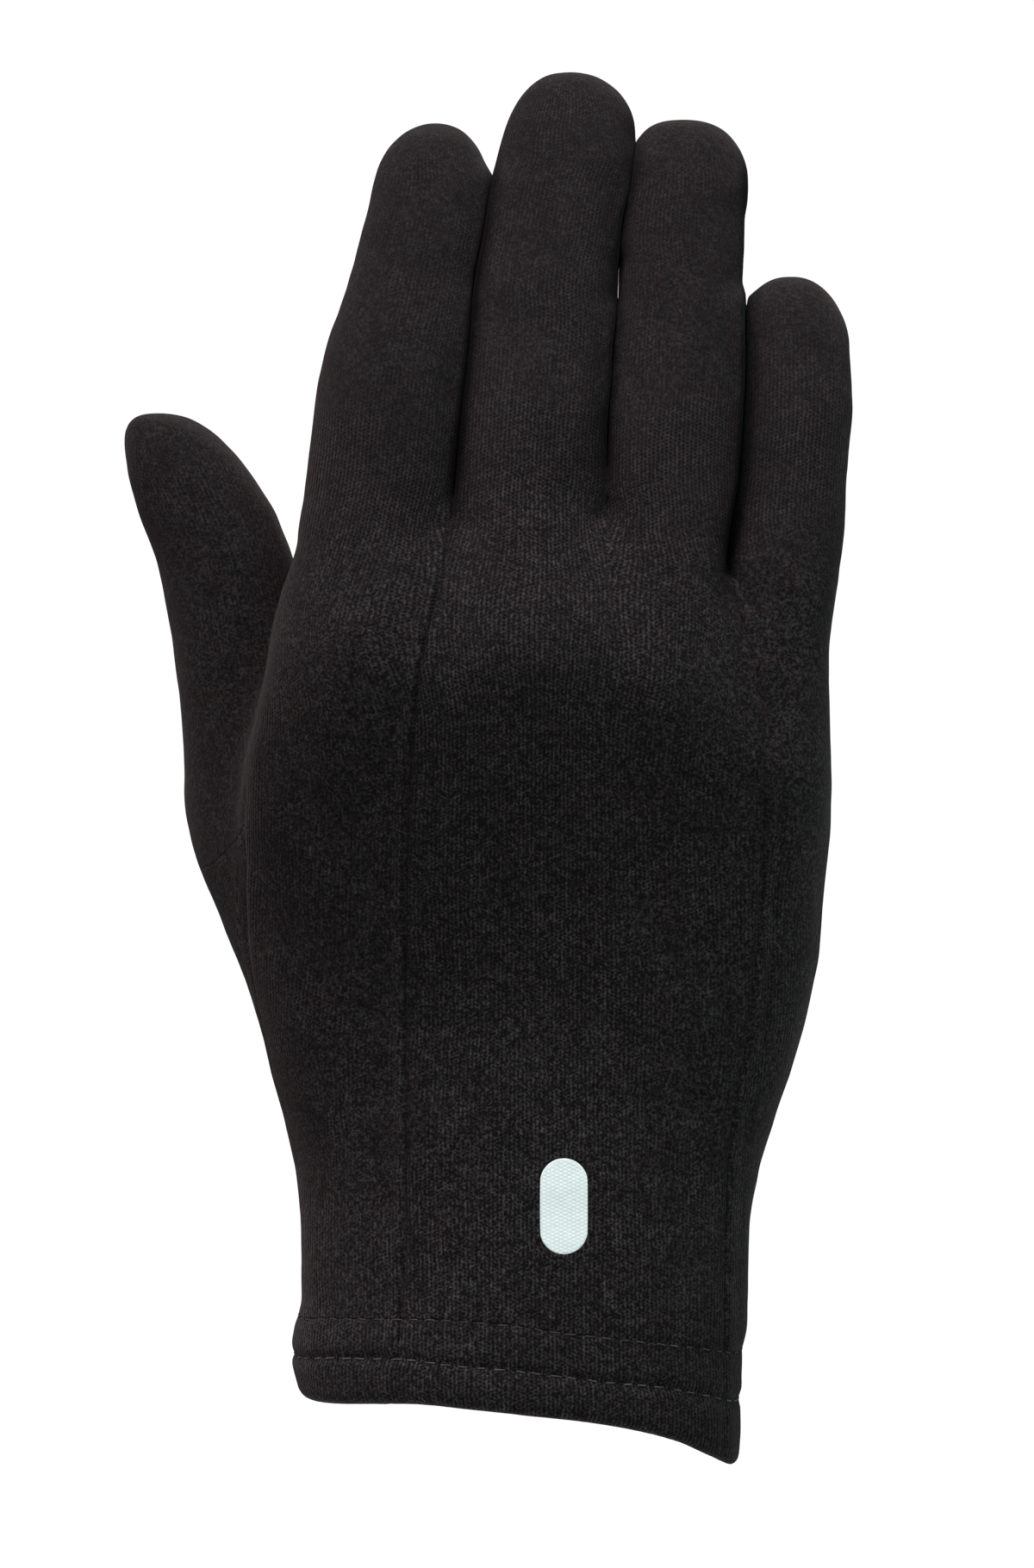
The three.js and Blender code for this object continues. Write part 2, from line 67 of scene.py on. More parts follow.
def curve(pairs, grid=ZT):
    """A smooth monotone curve through (z, value) pairs, held flat beyond its ends, as samples over the grid."""
    z, v = np.array(sorted(pairs), float).T
    h = np.diff(z)
    d = np.diff(v) / h
    m = np.zeros(len(z))
    m[0], m[-1] = d[0], d[-1]
    for i in range(1, len(z) - 1):
        if d[i - 1] * d[i] > 0:
            w1, w2 = 2 * h[i] + h[i - 1], h[i] + 2 * h[i - 1]
            m[i] = (w1 + w2) / (w1 / d[i - 1] + w2 / d[i])
    g = np.clip(grid, z[0], z[-1])
    k = np.clip(np.searchsorted(z, g) - 1, 0, len(h) - 1)
    t = (g - z[k]) / h[k]
    return (
        (2 * t**3 - 3 * t**2 + 1) * v[k]
        + (t**3 - 2 * t**2 + t) * h[k] * m[k]
        + (3 * t**2 - 2 * t**3) * v[k + 1]
        + (t**3 - t**2) * h[k] * m[k + 1]
    )


def at(samples, z):
    """A sampled curve at any array of z."""
    f = (np.asarray(z, float) - ZT[0]) / 0.25
    i = np.clip(f.astype(np.int32), 0, len(ZT) - 2)
    t = np.clip(f - i, 0, 1)
    return samples[i] * (1 - t) + samples[i + 1] * t


def smooth(t):
    t = np.clip(t, 0, 1)
    return t * t * (3 - 2 * t)


def bell(t):
    return np.exp(-t * t)


# The hand block: z, left, right, back, palm, exponent of the superellipse.
HAND = [
    (-16, -33.6, 35.2, -19.4, 19.4, 2.2),
    (-5, -33.7, 35.2, -19.6, 19.6, 2.2),
    (1, -34.3, 35.4, -19.7, 19.9, 2.2),
    (6, -35.2, 35.8, -19.5, 20.1, 2.2),
    (11, -36.4, 36.0, -19.2, 20.1, 2.2),
    (15, -36.1, 36.7, -18.9, 19.9, 2.2),
    (20, -35.0, 36.9, -18.3, 19.7, 2.2),
    (32, -35.3, 37.2, -16.9, 20.0, 2.2),
    (40, -36.0, 38.5, -16.1, 20.6, 2.25),
    (48, -37.2, 41.0, -15.6, 21.4, 2.3),
    (57, -38.7, 44.0, -15.4, 22.0, 2.35),
    (66, -39.6, 46.5, -15.9, 22.0, 2.4),
    (77, -40.6, 48.3, -17.3, 21.0, 2.45),
    (88, -42.9, 49.0, -18.9, 19.2, 2.5),
    (98, -44.0, 48.6, -20.5, 17.0, 2.5),
    (107, -43.4, 48.0, -21.9, 15.0, 2.5),
    (115, -41.8, 47.7, -22.7, 13.2, 2.5),
    (122, -40.4, 47.4, -21.4, 11.8, 2.5),
    (129, -39.2, 46.4, -18.6, 10.4, 2.5),
    (133.5, -37.8, 43.0, -16.2, 9.6, 2.45),
    (138, -35.6, 34.0, -13.6, 8.9, 2.4),
    (145, -33.0, 33.0, -10.4, 7.6, 2.3),
    (152, -31.0, 32.0, -8.0, 5.6, 2.3),
]
LEFT, RIGHT, BACK, PALM, SQUARE = (curve([(r[0], r[i]) for r in HAND]) for i in range(1, 6))

# The fingers: z, x, y, half width, half depth.
FINGERS = {
    "index": dict(
        rows=[
            (94, -24.6, -3.0, 10.4, 9.0),
            (104, -24.6, -6.6, 11.2, 10.2),
            (113, -24.4, -7.8, 11.6, 10.8),
            (119, -24.0, -8.5, 11.8, 10.7),
            (125, -23.7, -8.6, 11.9, 10.7),
            (131, -23.4, -7.5, 12.1, 10.6),
            (138, -23.3, -5.8, 12.3, 10.5),
            (143.1, -23.1, -4.2, 12.2, 10.4),
            (150, -22.4, -2.8, 11.95, 10.1),
            (154.4, -21.9, -2.5, 11.95, 10.0),
            (162.4, -21.1, -2.2, 11.8, 9.8),
            (167.8, -20.5, -1.8, 11.65, 9.7),
            (173.6, -19.6, -1.2, 11.35, 9.6),
            (179.2, -18.3, -0.2, 10.7, 9.3),
            (183.6, -17.4, 0.8, 10.1, 9.0),
            (187.5, -16.5, 1.7, 9.95, 8.8),
            (191.1, -15.8, 2.5, 9.9, 8.6),
            (197.5, -14.6, 4.3, 9.5, 8.2),
            (204.0, -13.9, 6.4, 9.3, 8.0),
            (210.0, -13.6, 8.6, 9.1, 7.8),
        ],
        cap=(197.5, 12.3, 2.2),
        foot=(104, 12),
    ),
    "middle": dict(
        rows=[
            (94, 1.0, -4.2, 10.6, 9.2),
            (104, 1.0, -8.2, 11.6, 10.4),
            (113, 1.0, -9.3, 12.2, 11.0),
            (119, 1.1, -10.2, 12.3, 11.0),
            (125, 1.2, -10.5, 12.4, 11.0),
            (131, 1.3, -9.3, 12.5, 11.0),
            (137.5, 1.4, -7.1, 12.6, 10.8),
            (144.4, 1.7, -4.8, 12.45, 10.5),
            (150, 1.9, -3.5, 12.3, 10.2),
            (159.7, 2.4, -2.6, 11.9, 10.0),
            (168.1, 3.1, -1.6, 11.75, 9.9),
            (175.7, 3.8, -0.9, 11.65, 9.7),
            (183.6, 4.4, -0.1, 11.4, 9.4),
            (191.1, 5.3, 1.8, 11.15, 9.0),
            (196.9, 6.3, 3.6, 11.25, 8.8),
            (201.9, 7.2, 5.2, 11.25, 8.4),
            (208.0, 8.3, 7.2, 11.4, 8.2),
            (213.0, 8.6, 9.0, 11.4, 8.0),
            (218.0, 8.3, 10.6, 11.2, 8.0),
        ],
        cap=(200.5, 17.7, 2.4),
        foot=(104, 12),
    ),
    "ring": dict(
        rows=[
            (94, 23.9, -3.6, 9.2, 8.8),
            (104, 23.9, -7.8, 9.9, 9.8),
            (111, 23.9, -9.0, 10.2, 10.4),
            (120, 23.9, -9.6, 10.4, 10.4),
            (128, 24.0, -8.6, 10.5, 10.3),
            (136, 24.2, -6.7, 10.5, 10.2),
            (144, 24.5, -4.5, 10.5, 10.0),
            (152.4, 24.8, -3.0, 10.6, 9.7),
            (157.1, 24.9, -2.4, 10.65, 9.6),
            (162.4, 25.2, -1.8, 10.85, 9.5),
            (167.8, 25.6, -1.1, 10.75, 9.4),
            (173.1, 25.8, -0.5, 10.65, 9.3),
            (178.3, 26.1, 0.1, 10.35, 9.1),
            (183.6, 26.15, 0.8, 10.0, 8.9),
            (188.9, 26.3, 2.0, 10.05, 8.7),
            (194.3, 26.7, 3.5, 9.85, 8.4),
            (199.6, 27.4, 5.0, 9.95, 8.1),
            (204.4, 27.3, 6.6, 10.1, 7.9),
            (210.0, 26.7, 8.8, 10.1, 7.7),
        ],
        cap=(196.0, 14.4, 2.7),
        foot=(104, 12),
    ),
    "little": dict(
        rows=[
            (86, 40.4, -1.0, 7.0, 7.4),
            (98, 40.8, -5.4, 8.1, 8.8),
            (105, 40.9, -6.7, 8.3, 9.1),
            (113, 41.0, -6.8, 8.3, 9.2),
            (121, 41.1, -6.2, 8.3, 9.2),
            (131, 41.8, -5.0, 8.95, 9.0),
            (137.5, 42.4, -4.1, 9.35, 8.8),
            (141.1, 43.0, -3.3, 9.25, 8.7),
            (146.4, 43.6, -2.3, 9.05, 8.5),
            (151.8, 44.1, -1.3, 8.75, 8.3),
            (157.1, 44.4, -0.4, 8.8, 8.1),
            (162.4, 44.8, 0.6, 8.7, 7.9),
            (167.8, 44.9, 1.8, 8.5, 7.6),
            (173.0, 44.9, 3.0, 8.35, 7.3),
            (179.2, 44.4, 4.6, 8.45, 7.1),
            (185.0, 43.8, 6.3, 8.1, 7.0),
        ],
        cap=(173.0, 11.9, 2.4),
        foot=(96, 12),
    ),
    "thumb": dict(
        rows=[
            (36, -18.0, 2.4, 9.0, 8.4),
            (48, -22.6, 3.4, 11.4, 11.0),
            (56.9, -26.0, 4.8, 12.0, 12.6),
            (68.1, -30.6, 7.0, 12.1, 13.8),
            (79.2, -35.1, 9.2, 12.5, 13.8),
            (90.3, -39.4, 10.8, 12.8, 12.9),
            (98.6, -41.7, 11.8, 12.4, 11.9),
            (106.9, -42.6, 12.1, 11.8, 11.0),
            (118.1, -44.1, 12.4, 11.4, 10.3),
            (129.9, -45.9, 12.6, 11.1, 9.8),
            (138.3, -47.3, 13.0, 11.2, 9.5),
            (146.4, -50.4, 13.7, 11.2, 9.0),
            (150.3, -52.2, 14.3, 10.65, 8.8),
            (156.0, -54.85, 15.2, 9.7, 8.7),
            (160.0, -56.9, 15.9, 9.3, 8.65),
            (164.0, -58.9, 16.6, 9.2, 8.6),
        ],
        cap=(150.3, 12.9, 2.6),
        foot=(50, 14),
    ),
}
for f in FINGERS.values():
    f["x"], f["y"], f["half"], f["deep"] = (curve([(r[0], r[i]) for r in f["rows"]]) for i in range(1, 5))
    f["lean"] = np.gradient(f["x"], ZT)

# Where two fingers press on each other: z, x.
TOUCH_INDEX = curve([(150, -10.3), (162.4, -9.3), (173.6, -8.1), (183.6, -7.2), (191.1, -5.8), (196.9, -5.0), (203, -4.2)])
TOUCH_RING = curve([(152.4, 14.2), (157, 14.2), (162.4, 14.4), (167.8, 14.9), (173, 15.1), (178.3, 15.7), (184.7, 15.8), (188.9, 16.25), (194.3, 16.8), (199.6, 18.1), (205.4, 18.6)])
TOUCH_LITTLE = curve([(136.8, 33.3), (141.1, 33.6), (151.8, 35.3), (162.4, 36.1), (171.6, 36.5), (178, 36.5), (184, 36.9)])


def fuller(z, lo, hi):
    return 1.4 * smooth((z - lo) / 8) * smooth((hi - z) / 5)


_i, _m, _r, _l = (FINGERS[n] for n in ("index", "middle", "ring", "little"))
_gi, _gr, _gl = fuller(ZT, 144, 204.0), fuller(ZT, 145, 208.0), fuller(ZT, 130, 184)
_gap = 1 - 0.78 * smooth((6.6 - np.abs(ZT - 183.6)) / 4.6)  # the one slit of light, between the middle and ring fingers
_i["x"], _i["half"] = _i["x"] + _gi / 2, _i["half"] + _gi / 2
_m["x"], _m["half"] = _m["x"] + (_gr * _gap - _gi) / 2, _m["half"] + (_gi + _gr * _gap) / 2
_r["x"], _r["half"] = _r["x"] + (_gl - _gr * _gap) / 2, _r["half"] + (_gr * _gap + _gl) / 2
_l["x"], _l["half"] = _l["x"] - _gl / 2, _l["half"] + _gl / 2

# The knuckles: x, z, height, reach; and how far the knuckle line lies above z = 115, over x.
KNUCKLES = [(-27, 121.0, 1.3, 9.0), (2, 124.0, 1.4, 9.0), (24, 118.5, 1.3, 8.0), (42, 104.5, 1.1, 7.5)]
KNUCKLE_LINE = np.array([(-44, 5.0), (-36, 9.0), (-27, 10.0), (-18, 6.5), (-11, 3.0), (-4, 6.0), (4, 7.5), (12, 6.2), (24, 1.2), (34, -6.0), (42, -14.0), (50, -18.0)])
# The same for the hollow behind the wrist, from z = 57.
WRIST_LINE = np.array([(-40, 0.0), (-30, 2.0), (-10, 8.0), (5, 3.0), (15, -4.0), (25, -9.0), (40, -10.0)])

# Seams on the back: z, x. Above the crotches they run in the air between the fingers.
SEAM_INDEX = curve(
    [(-60, -20.6), (1.4, -20.3), (17.1, -18.9), (34.7, -17.9), (50, -17.8), (67, -18.1), (82, -18.0), (97, -17.6)]
    + [(112, -16.7), (124, -15.3), (135, -12.5), (144, -11.0), (150, -10.3), (162.4, -9.3), (173.6, -8.1), (183.6, -7.2)]
    + [(191.1, -5.8), (196.9, -5.0), (203, -4.4), (240, -4.4)]
)
SEAM_LITTLE = curve(
    [(-60, 32.8), (26.5, 32.9), (35, 33.2), (43.5, 33.6), (52.1, 34.6), (62.6, 36.6), (73.3, 37.8), (90.3, 38.9)]
    + [(109.7, 39.4), (118.1, 38.7), (126.4, 36.4), (131.9, 34.8), (136.8, 33.3), (141.1, 33.6), (151.8, 35.3)]
    + [(162.4, 36.1), (171.6, 36.5), (178, 36.9), (187.5, 38.0), (240, 38.8)]
)
# The side seam: z, y, for the other fingers and for the little finger.
SEAM_SIDE = curve(
    [(-60, 0.3), (14, 0.8), (46, 2.0), (60, 2.0), (77, -1.0), (91, -4.4), (106, -5.0), (122, -4.9), (140, -3.8)]
    + [(151, -2.8), (162, -2.2), (173, -1.0), (184, 0.9), (192, 3.0), (200, 5.5), (208, 8.2), (218, 11.0), (240, 14.0)]
)
SEAM_SIDE_LITTLE = curve(
    [(-60, 0.3), (14, 0.8), (46, 2.0), (60, 2.0), (77, -1.0), (91, -3.4), (106, -4.6), (122, -4.7), (140, -3.4)]
    + [(151, -1.4), (162, 0.6), (173, 3.0), (184, 6.2), (240, 20.0)]
)
# The seam that sets in the thumb: z, x.
SEAM_THUMB = curve([(240, -46.0), (160, -43.5), (154, -41.0), (150, -38.8), (147, -37.0), (144, -36.3), (140, -36.5), (131, -38.2), (123, -39.4), (114, -40.6), (106, -41.4), (98, -43.2), (94, -45.2)])
THUMB_FOOT = [(0, 0), (3.8, -4.0), (8.0, -6.0), (30.0, -16.0)]  # how far it falls, by how far out from there

# The hem's two rows of stitches and its edge, at the front of the cuff: x, z. The palm side sits higher.
HEM_TOP = [(-60, 15.3), (-36, 15.5), (-30, 16.4), (-14.2, 17.1), (-2.2, 16.4), (7.1, 15.1), (14.3, 14.2), (21.9, 13.1), (30, 11.6), (36, 10.2), (60, 9.6)]
HEM_ROW = [(-60, 9.2), (-36, 9.4), (-30, 10.2), (-18.6, 10.7), (-10.4, 9.9), (-2.2, 9.3), (7.1, 8.2), (14.7, 7.1), (21.5, 6.3), (30, 4.2), (36, 2.2), (60, 1.6)]
HEM_EDGE = [(-60, 1.9), (-36, 2.1), (-30, 2.5), (-23, 3.1), (-16.8, 3.4), (-7.1, 2.7), (1.1, 1.85), (9.2, 0.95), (17.2, -0.5), (25.3, -3.0), (30.7, -6.0), (36, -9.0), (60, -9.4)]
XT = np.arange(-70.0, 70.0, 0.5)
HEM_TOP, HEM_ROW, HEM_EDGE = (curve(t, XT) for t in (HEM_TOP, HEM_ROW, HEM_EDGE))
HEM_SLOPE = math.tan(math.radians(4.5))
HEM_Z = 14.0  # where the hem's top line lies in the flat layout

CLOTH, HEM_CLOTH = 1.8, 2.8


def along_x(samples, x):
    return np.interp(x, XT, samples)


# ------------------------------------------------------------------------------------------------------------------
# The glove as a distance field. The fingers are spread a little here, so that the slits between them stay open,
# and are closed again once the surface is made.
# ------------------------------------------------------------------------------------------------------------------
SPREAD = 3.0


def spread(name, z):
    s = SPREAD * smooth((z - 152.0) / 7)
    if name == "index":
        return -SPREAD * smooth((z - 145.5) / 7)
    if name == "ring":
        return s
    if name == "little":
        return s + SPREAD * smooth((z - 132) / 7)
    return 0.0 * s


def blend_min(a, b, k):
    h = np.clip(0.5 + 0.5 * (b - a) / k, 0, 1)
    return b * (1 - h) + a * h - k * h * (1 - h)


def blend_max(a, b, k):
    return -blend_min(-a, -b, k)


def hand_field(x, y, z):
    zb = z - np.interp(x, KNUCKLE_LINE[:, 0], KNUCKLE_LINE[:, 1]) * bell((z - 114) / 20.0) - np.interp(x, WRIST_LINE[:, 0], WRIST_LINE[:, 1]) * bell((z - 57) / 18.0)
    left, right, palm, n = at(LEFT, z), at(RIGHT, z), at(PALM, z), at(SQUARE, z)
    back0, back = at(BACK, z), at(BACK, zb)
    cx, a = (left + right) / 2, (right - left) / 2
    cy = (back0 + palm) / 2
    b = np.where(y < cy, cy - back, palm - cy)
    X = np.abs(x - cx) / a + 1e-6
    Y = np.abs(y - cy) / b + 1e-6
    xp, yp = X**n, Y**n
    r = (xp + yp) ** (1 / n)
    c = np.maximum(z - 139, 0) / 14
    f = np.sqrt(r * r + c * c)
    q = r ** (1 - n) * (r / f)
    gx, gy, gz = xp / X / a * q, yp / Y / b * q, c / 14 / f
    return (f - 1) / np.sqrt(gx * gx + gy * gy + gz * gz + 1e-9)


def finger_field(name, x, y, z, spread_out=True):
    f = FINGERS[name]
    cx = at(f["x"], z)
    if spread_out:
        cx = cx + spread(name, z)
    cy, a, b, lean = at(f["y"], z), at(f["half"], z), at(f["deep"], z), at(f["lean"], z)
    X, Y = (x - cx) / a, (y - cy) / b
    zc, h, m = f["cap"]
    zf, hf = f["foot"]
    c = np.maximum(z - zc, 0) / h + np.maximum(zf - z, 0) / hf
    r = np.sqrt(X * X + Y * Y) + 1e-6
    t = (r**m + c**m) ** (1 / m)
    q = (r / t) ** (m - 1)
    gx, gy = X / r / a * q, Y / r / b * q
    gz = np.where(c > 0, (c / t) ** (m - 1) / np.where(z > zc, h, -hf), 0) - gx * lean
    return (t - 1) / np.sqrt(gx * gx + gy * gy + gz * gz + 1e-9)


def glove_field(x, y, z):
    """Distance to the outside of the cloth, without the fine relief."""
    hand = hand_field(x, y, z)
    d = hand
    for name, crotch in (("index", 148.0), ("middle", 149.0), ("ring", 149.0), ("little", 134.0)):
        d = np.minimum(d, blend_min(hand, finger_field(name, x, y, z), 1.2 + 3.8 * smooth((crotch - z) / 14.0)))
    return blend_min(d, finger_field("thumb", x, y, z), 6.5)


def hem_lift(y):
    return HEM_SLOPE * (y + 20)


def wave(x, y, z, seed, size):
    """Soft, repeatable waviness of about the given wavelength, from -1 to 1."""
    rng = np.random.default_rng(seed)
    out = 0
    for _ in range(7):
        v = rng.normal(size=3)
        v *= 2 * math.pi / size / np.linalg.norm(v) * rng.uniform(0.6, 1.5)
        out = out + np.sin(x * v[0] + y * v[1] + z * v[2] + rng.uniform(0, 6.28))
    return out / 4.0


def relief(x, y, z):
    """How far the cloth stands in (+) or out (-) from the plain form."""
    front = smooth((2 - y) / 8)
    d = 0
    for kx, kz, up, reach in KNUCKLES:
        d = d - up * 0.6 * bell((x - kx) / reach) * bell((z - kz) / (reach * 1.1)) * front
    # the cloth lies a little slack over the form
    body = smooth((z - 16) / 12)
    d = d + (0.22 * wave(x, y, z, 3, 26) + 0.10 * wave(x, y, z, 4, 11)) * body
    d = d + 0.035 * wave(x, y, z, 5, 4.2)
    # the cloth is stretched across the crotches of the fingers
    for cx, cz, up in ((-10.6, 147.0, 0.7), (14.2, 149.5, 0.4)):
        d = d - up * bell((x - cx) / 2.4) * bell((z - cz) / 3.0) * smooth((side_y(x, z) - y - 1) / 3)
    # faint folds across the wrist, where the hand meets the arm
    d = d + 0.10 * front * np.sin((z + 0.10 * x + 0.8 * wave(x, y, z, 6, 30)) * 0.62) * bell((z - 47) / 16) * smooth((x + 34) / 12)
    # the seams of the back: a fine line with a soft welt on both sides
    side = y - side_y(x, z)
    for seam, way, top, strong in ((seam_index_x, -1, 148.0, 1.0), (seam_little_x, 1, 136.0, 0.7)):
        ds = (x - seam(z)) * way
        on = smooth((-side - 1.5) / 3) * (1 - 0.5 * smooth((14 - z) / 3))
        welt = 0.26 * bell((ds - 1.25) / 0.75) * (1 + 0.35 * wave(x, y, z, 8, 5.0)) - 0.10 * bell((ds - 2.6) / 0.6)
        d = d + (0.36 * bell(ds / 0.45) - welt) * on * strong * smooth((top + 3 - z) / 5)
    d = d + (0.13 * bell(side / 0.5) - 0.07 * bell((np.abs(side) - 1.3) / 0.8)) * smooth((z - 12) / 4)
    set_in = (x - at(SEAM_THUMB, z)) + 0 * y
    d = d + 0.12 * bell(set_in / 0.5) * smooth((z - 92) / 3) * smooth((146 - z) / 4) * smooth(side / 2)
    # the hem: drawn in at its rows of stitches, full between them and round at its edge
    top, row, edge = (along_x(t, x) + hem_lift(y) for t in (HEM_TOP, HEM_ROW, HEM_EDGE))
    d = d + 0.10 * bell((z - top) / 0.7) - 0.10 * bell((z - top + 3.1) / 2.2)
    d = d + 0.34 * bell((z - row) / 0.8) - 0.14 * bell((z - row - 1.9) / 1.2)
    t = np.clip((z - edge) / np.maximum(row - edge, 1), -0.5, 1.2)
    d = d - 0.85 * np.clip(4 * t * (1 - t), 0, 1) ** 0.7 * (t > 0) * (t < 1) * 0.55
    return d


def side_y(x, z):
    t = smooth((x - seam_little_x(z) + 1.0) / 2.0)
    return at(SEAM_SIDE, z) * (1 - t) + at(SEAM_SIDE_LITTLE, z) * t


# ------------------------------------------------------------------------------------------------------------------
# The flat layout: in it each seam is a straight plane, so that the surface's mesh follows the seams.
# ------------------------------------------------------------------------------------------------------------------
INDEX_X, LITTLE_X, THUMB_X, THUMB_Z = -20.0, 38.0, -40.0, 94.0


def seam_index_x(z):
    return at(SEAM_INDEX, z) + spread("index", z) / 2


def seam_little_x(z):
    return at(SEAM_LITTLE, z) + (spread("ring", z) + spread("little", z)) / 2


def layout_back(U, V, W):
    a, b = seam_index_x(W), seam_little_x(W)
    x = np.where(U < INDEX_X, a + U - INDEX_X, np.where(U > LITTLE_X, b + U - LITTLE_X, a + (U - INDEX_X) * (b - a) / (LITTLE_X - INDEX_X)))
    return layout_rest(x, V, W)


def layout_palm(U, V, W):
    t = at(SEAM_THUMB, W)
    x = U + (t - THUMB_X) * smooth(1 - (U - THUMB_X) / 30.0)
    x, y, z = layout_rest(x, V, W)
    return x, y, z + np.interp(-45.2 - x, *np.array(THUMB_FOOT).T) * bell((W - THUMB_Z) / 20.0)


def layout_rest(x, V, W):
    y = side_y(x, W) + V
    lift = along_x(HEM_TOP, x) + hem_lift(y) - HEM_Z
    z = W + lift * smooth(1 - (W - HEM_Z) / 45.0)
    return x, y, z


def layout_hem(U, V, W):
    y = 0.8 + V
    top, edge = along_x(HEM_TOP, U) + hem_lift(y), along_x(HEM_EDGE, U) + hem_lift(y)
    z = edge + (top - edge) * W / HEM_Z
    return U, y, z


def shell(x, y, z, thick):
    d = glove_field(x, y, z)
    return blend_max(d + relief(x, y, z), -(d + thick), 0.3)


EDGE = -0.06  # half of how far two panels lie into each other at a seam


def piece_index(U, V, W):
    return layout_back(U, V, W), np.maximum(np.maximum(U - INDEX_X + EDGE, V + EDGE), HEM_Z + EDGE - W)


def piece_back(U, V, W):
    side = np.maximum(INDEX_X + EDGE - U, U - LITTLE_X + EDGE)
    return layout_back(U, V, W), np.maximum(np.maximum(side, V + EDGE), HEM_Z + EDGE - W)


def piece_little(U, V, W):
    return layout_back(U, V, W), np.maximum(np.maximum(LITTLE_X + EDGE - U, V + EDGE), HEM_Z + EDGE - W)


def piece_palm(U, V, W):
    notch = np.minimum(THUMB_X + EDGE - U, W - THUMB_Z + EDGE)
    return layout_palm(U, V, W), np.maximum(np.maximum(notch, EDGE - V), HEM_Z + EDGE - W)


def piece_thumb(U, V, W):
    return layout_palm(U, V, W), np.maximum(np.maximum(U - THUMB_X + EDGE, THUMB_Z + EDGE - W), EDGE - V)


def piece_hem(U, V, W):
    return layout_hem(U, V, W), W - HEM_Z + EDGE


def shell_of(name, x, y, z, W):
    f = shell(x, y, z, HEM_CLOTH if name == "hem" else CLOTH)
    return blend_max(f, -W, 2.2) if name == "hem" else f


# Where each piece is cut: axis of the layout, place.
CUTS = {
    "index_side_panel": [(0, INDEX_X, -1), (1, 0.0, -1), (2, HEM_Z, 1)],
    "back_panel": [(0, INDEX_X, 1), (0, LITTLE_X, -1), (1, 0.0, -1), (2, HEM_Z, 1)],
    "little_side_panel": [(0, LITTLE_X, 1), (1, 0.0, -1), (2, HEM_Z, 1)],
    "palm_panel": [(0, THUMB_X, 1), (2, THUMB_Z, -1), (1, 0.0, 1), (2, HEM_Z, 1)],
    "thumb": [(0, THUMB_X, -1), (2, THUMB_Z, 1), (1, 0.0, 1)],
    "hem": [(2, HEM_Z, -1)],
}


# ------------------------------------------------------------------------------------------------------------------
# Surface nets: a quad mesh of a field's zero on a grid of uneven steps.
# ------------------------------------------------------------------------------------------------------------------
CORNERS = [(i, j, k) for i in (0, 1) for j in (0, 1) for k in (0, 1)]
EDGES = [(a, b) for a in range(8) for b in range(a + 1, 8) if sum(abs(p - q) for p, q in zip(CORNERS[a], CORNERS[b])) == 1]


def steps(lo, hi, size, fine=(), fine_size=0.3, reach=1.6):
    """Grid nodes from lo to hi, closer together near the places in fine, and never on them."""
    out = [lo]
    while out[-1] < hi:
        p = out[-1]
        near = min([abs(p - q) for q in fine] or [1e9])
        s = fine_size + (size - fine_size) * float(np.clip((near - reach) / (3 * reach), 0, 1)) if fine else size
        nxt = p + s
        for q in fine:
            if p < q - fine_size / 2 - 1e-9 < nxt:
                nxt = q - fine_size / 2
            elif abs(p - (q - fine_size / 2)) < 1e-9:
                nxt = q + fine_size / 2
        out.append(nxt)
    return np.array(out)


def nets(F, S, axes):
    """Vertices, quads, each vertex's cell, and whether the shell's own surface S passes through the cell."""
    s = F < 0
    count = sum(s[i : s.shape[0] - 1 + i, j : s.shape[1] - 1 + j, k : s.shape[2] - 1 + k].astype(np.uint8) for i, j, k in CORNERS)
    live = (count > 0) & (count < 8)
    idx = -np.ones(live.shape, np.int64)
    c = np.argwhere(live)
    idx[live] = np.arange(len(c))
    vals = [F[c[:, 0] + i, c[:, 1] + j, c[:, 2] + k] for i, j, k in CORNERS]
    pos, n = np.zeros((len(c), 3)), np.zeros(len(c))
    for a, b in EDGES:
        fa, fb = vals[a], vals[b]
        m = (fa < 0) != (fb < 0)
        t = (fa[m] / (fa[m] - fb[m]))[:, None]
        pos[m] += np.array(CORNERS[a]) * (1 - t) + np.array(CORNERS[b]) * t
        n[m] += 1
    skin = [S[c[:, 0] + i, c[:, 1] + j, c[:, 2] + k] < 0 for i, j, k in CORNERS]
    skin = np.logical_or.reduce(skin) & ~np.logical_and.reduce(skin)
    pos = c + pos / n[:, None]
    P = np.stack([np.interp(pos[:, i], np.arange(len(axes[i])), axes[i]) for i in range(3)], 1)
    quads = []
    for ax in range(3):
        u, v = (ax + 1) % 3, (ax + 2) % 3
        a = [slice(None)] * 3
        b = [slice(None)] * 3
        a[ax], b[ax] = slice(0, -1), slice(1, None)
        for w in (u, v):
            a[w] = b[w] = slice(1, -1)
        change = s[tuple(a)] != s[tuple(b)]
        e = np.argwhere(change)
        e[:, u] += 1
        e[:, v] += 1
        inside_first = s[e[:, 0], e[:, 1], e[:, 2]]

        def cell(du, dv):
            q = e.copy()
            q[:, u] -= du
            q[:, v] -= dv
            return idx[q[:, 0], q[:, 1], q[:, 2]]

        q = np.stack([cell(1, 1), cell(0, 1), cell(0, 0), cell(1, 0)], 1)
        q[~inside_first] = q[~inside_first][:, ::-1]
        quads.append(q)
    return P, np.concatenate(quads), c, skin


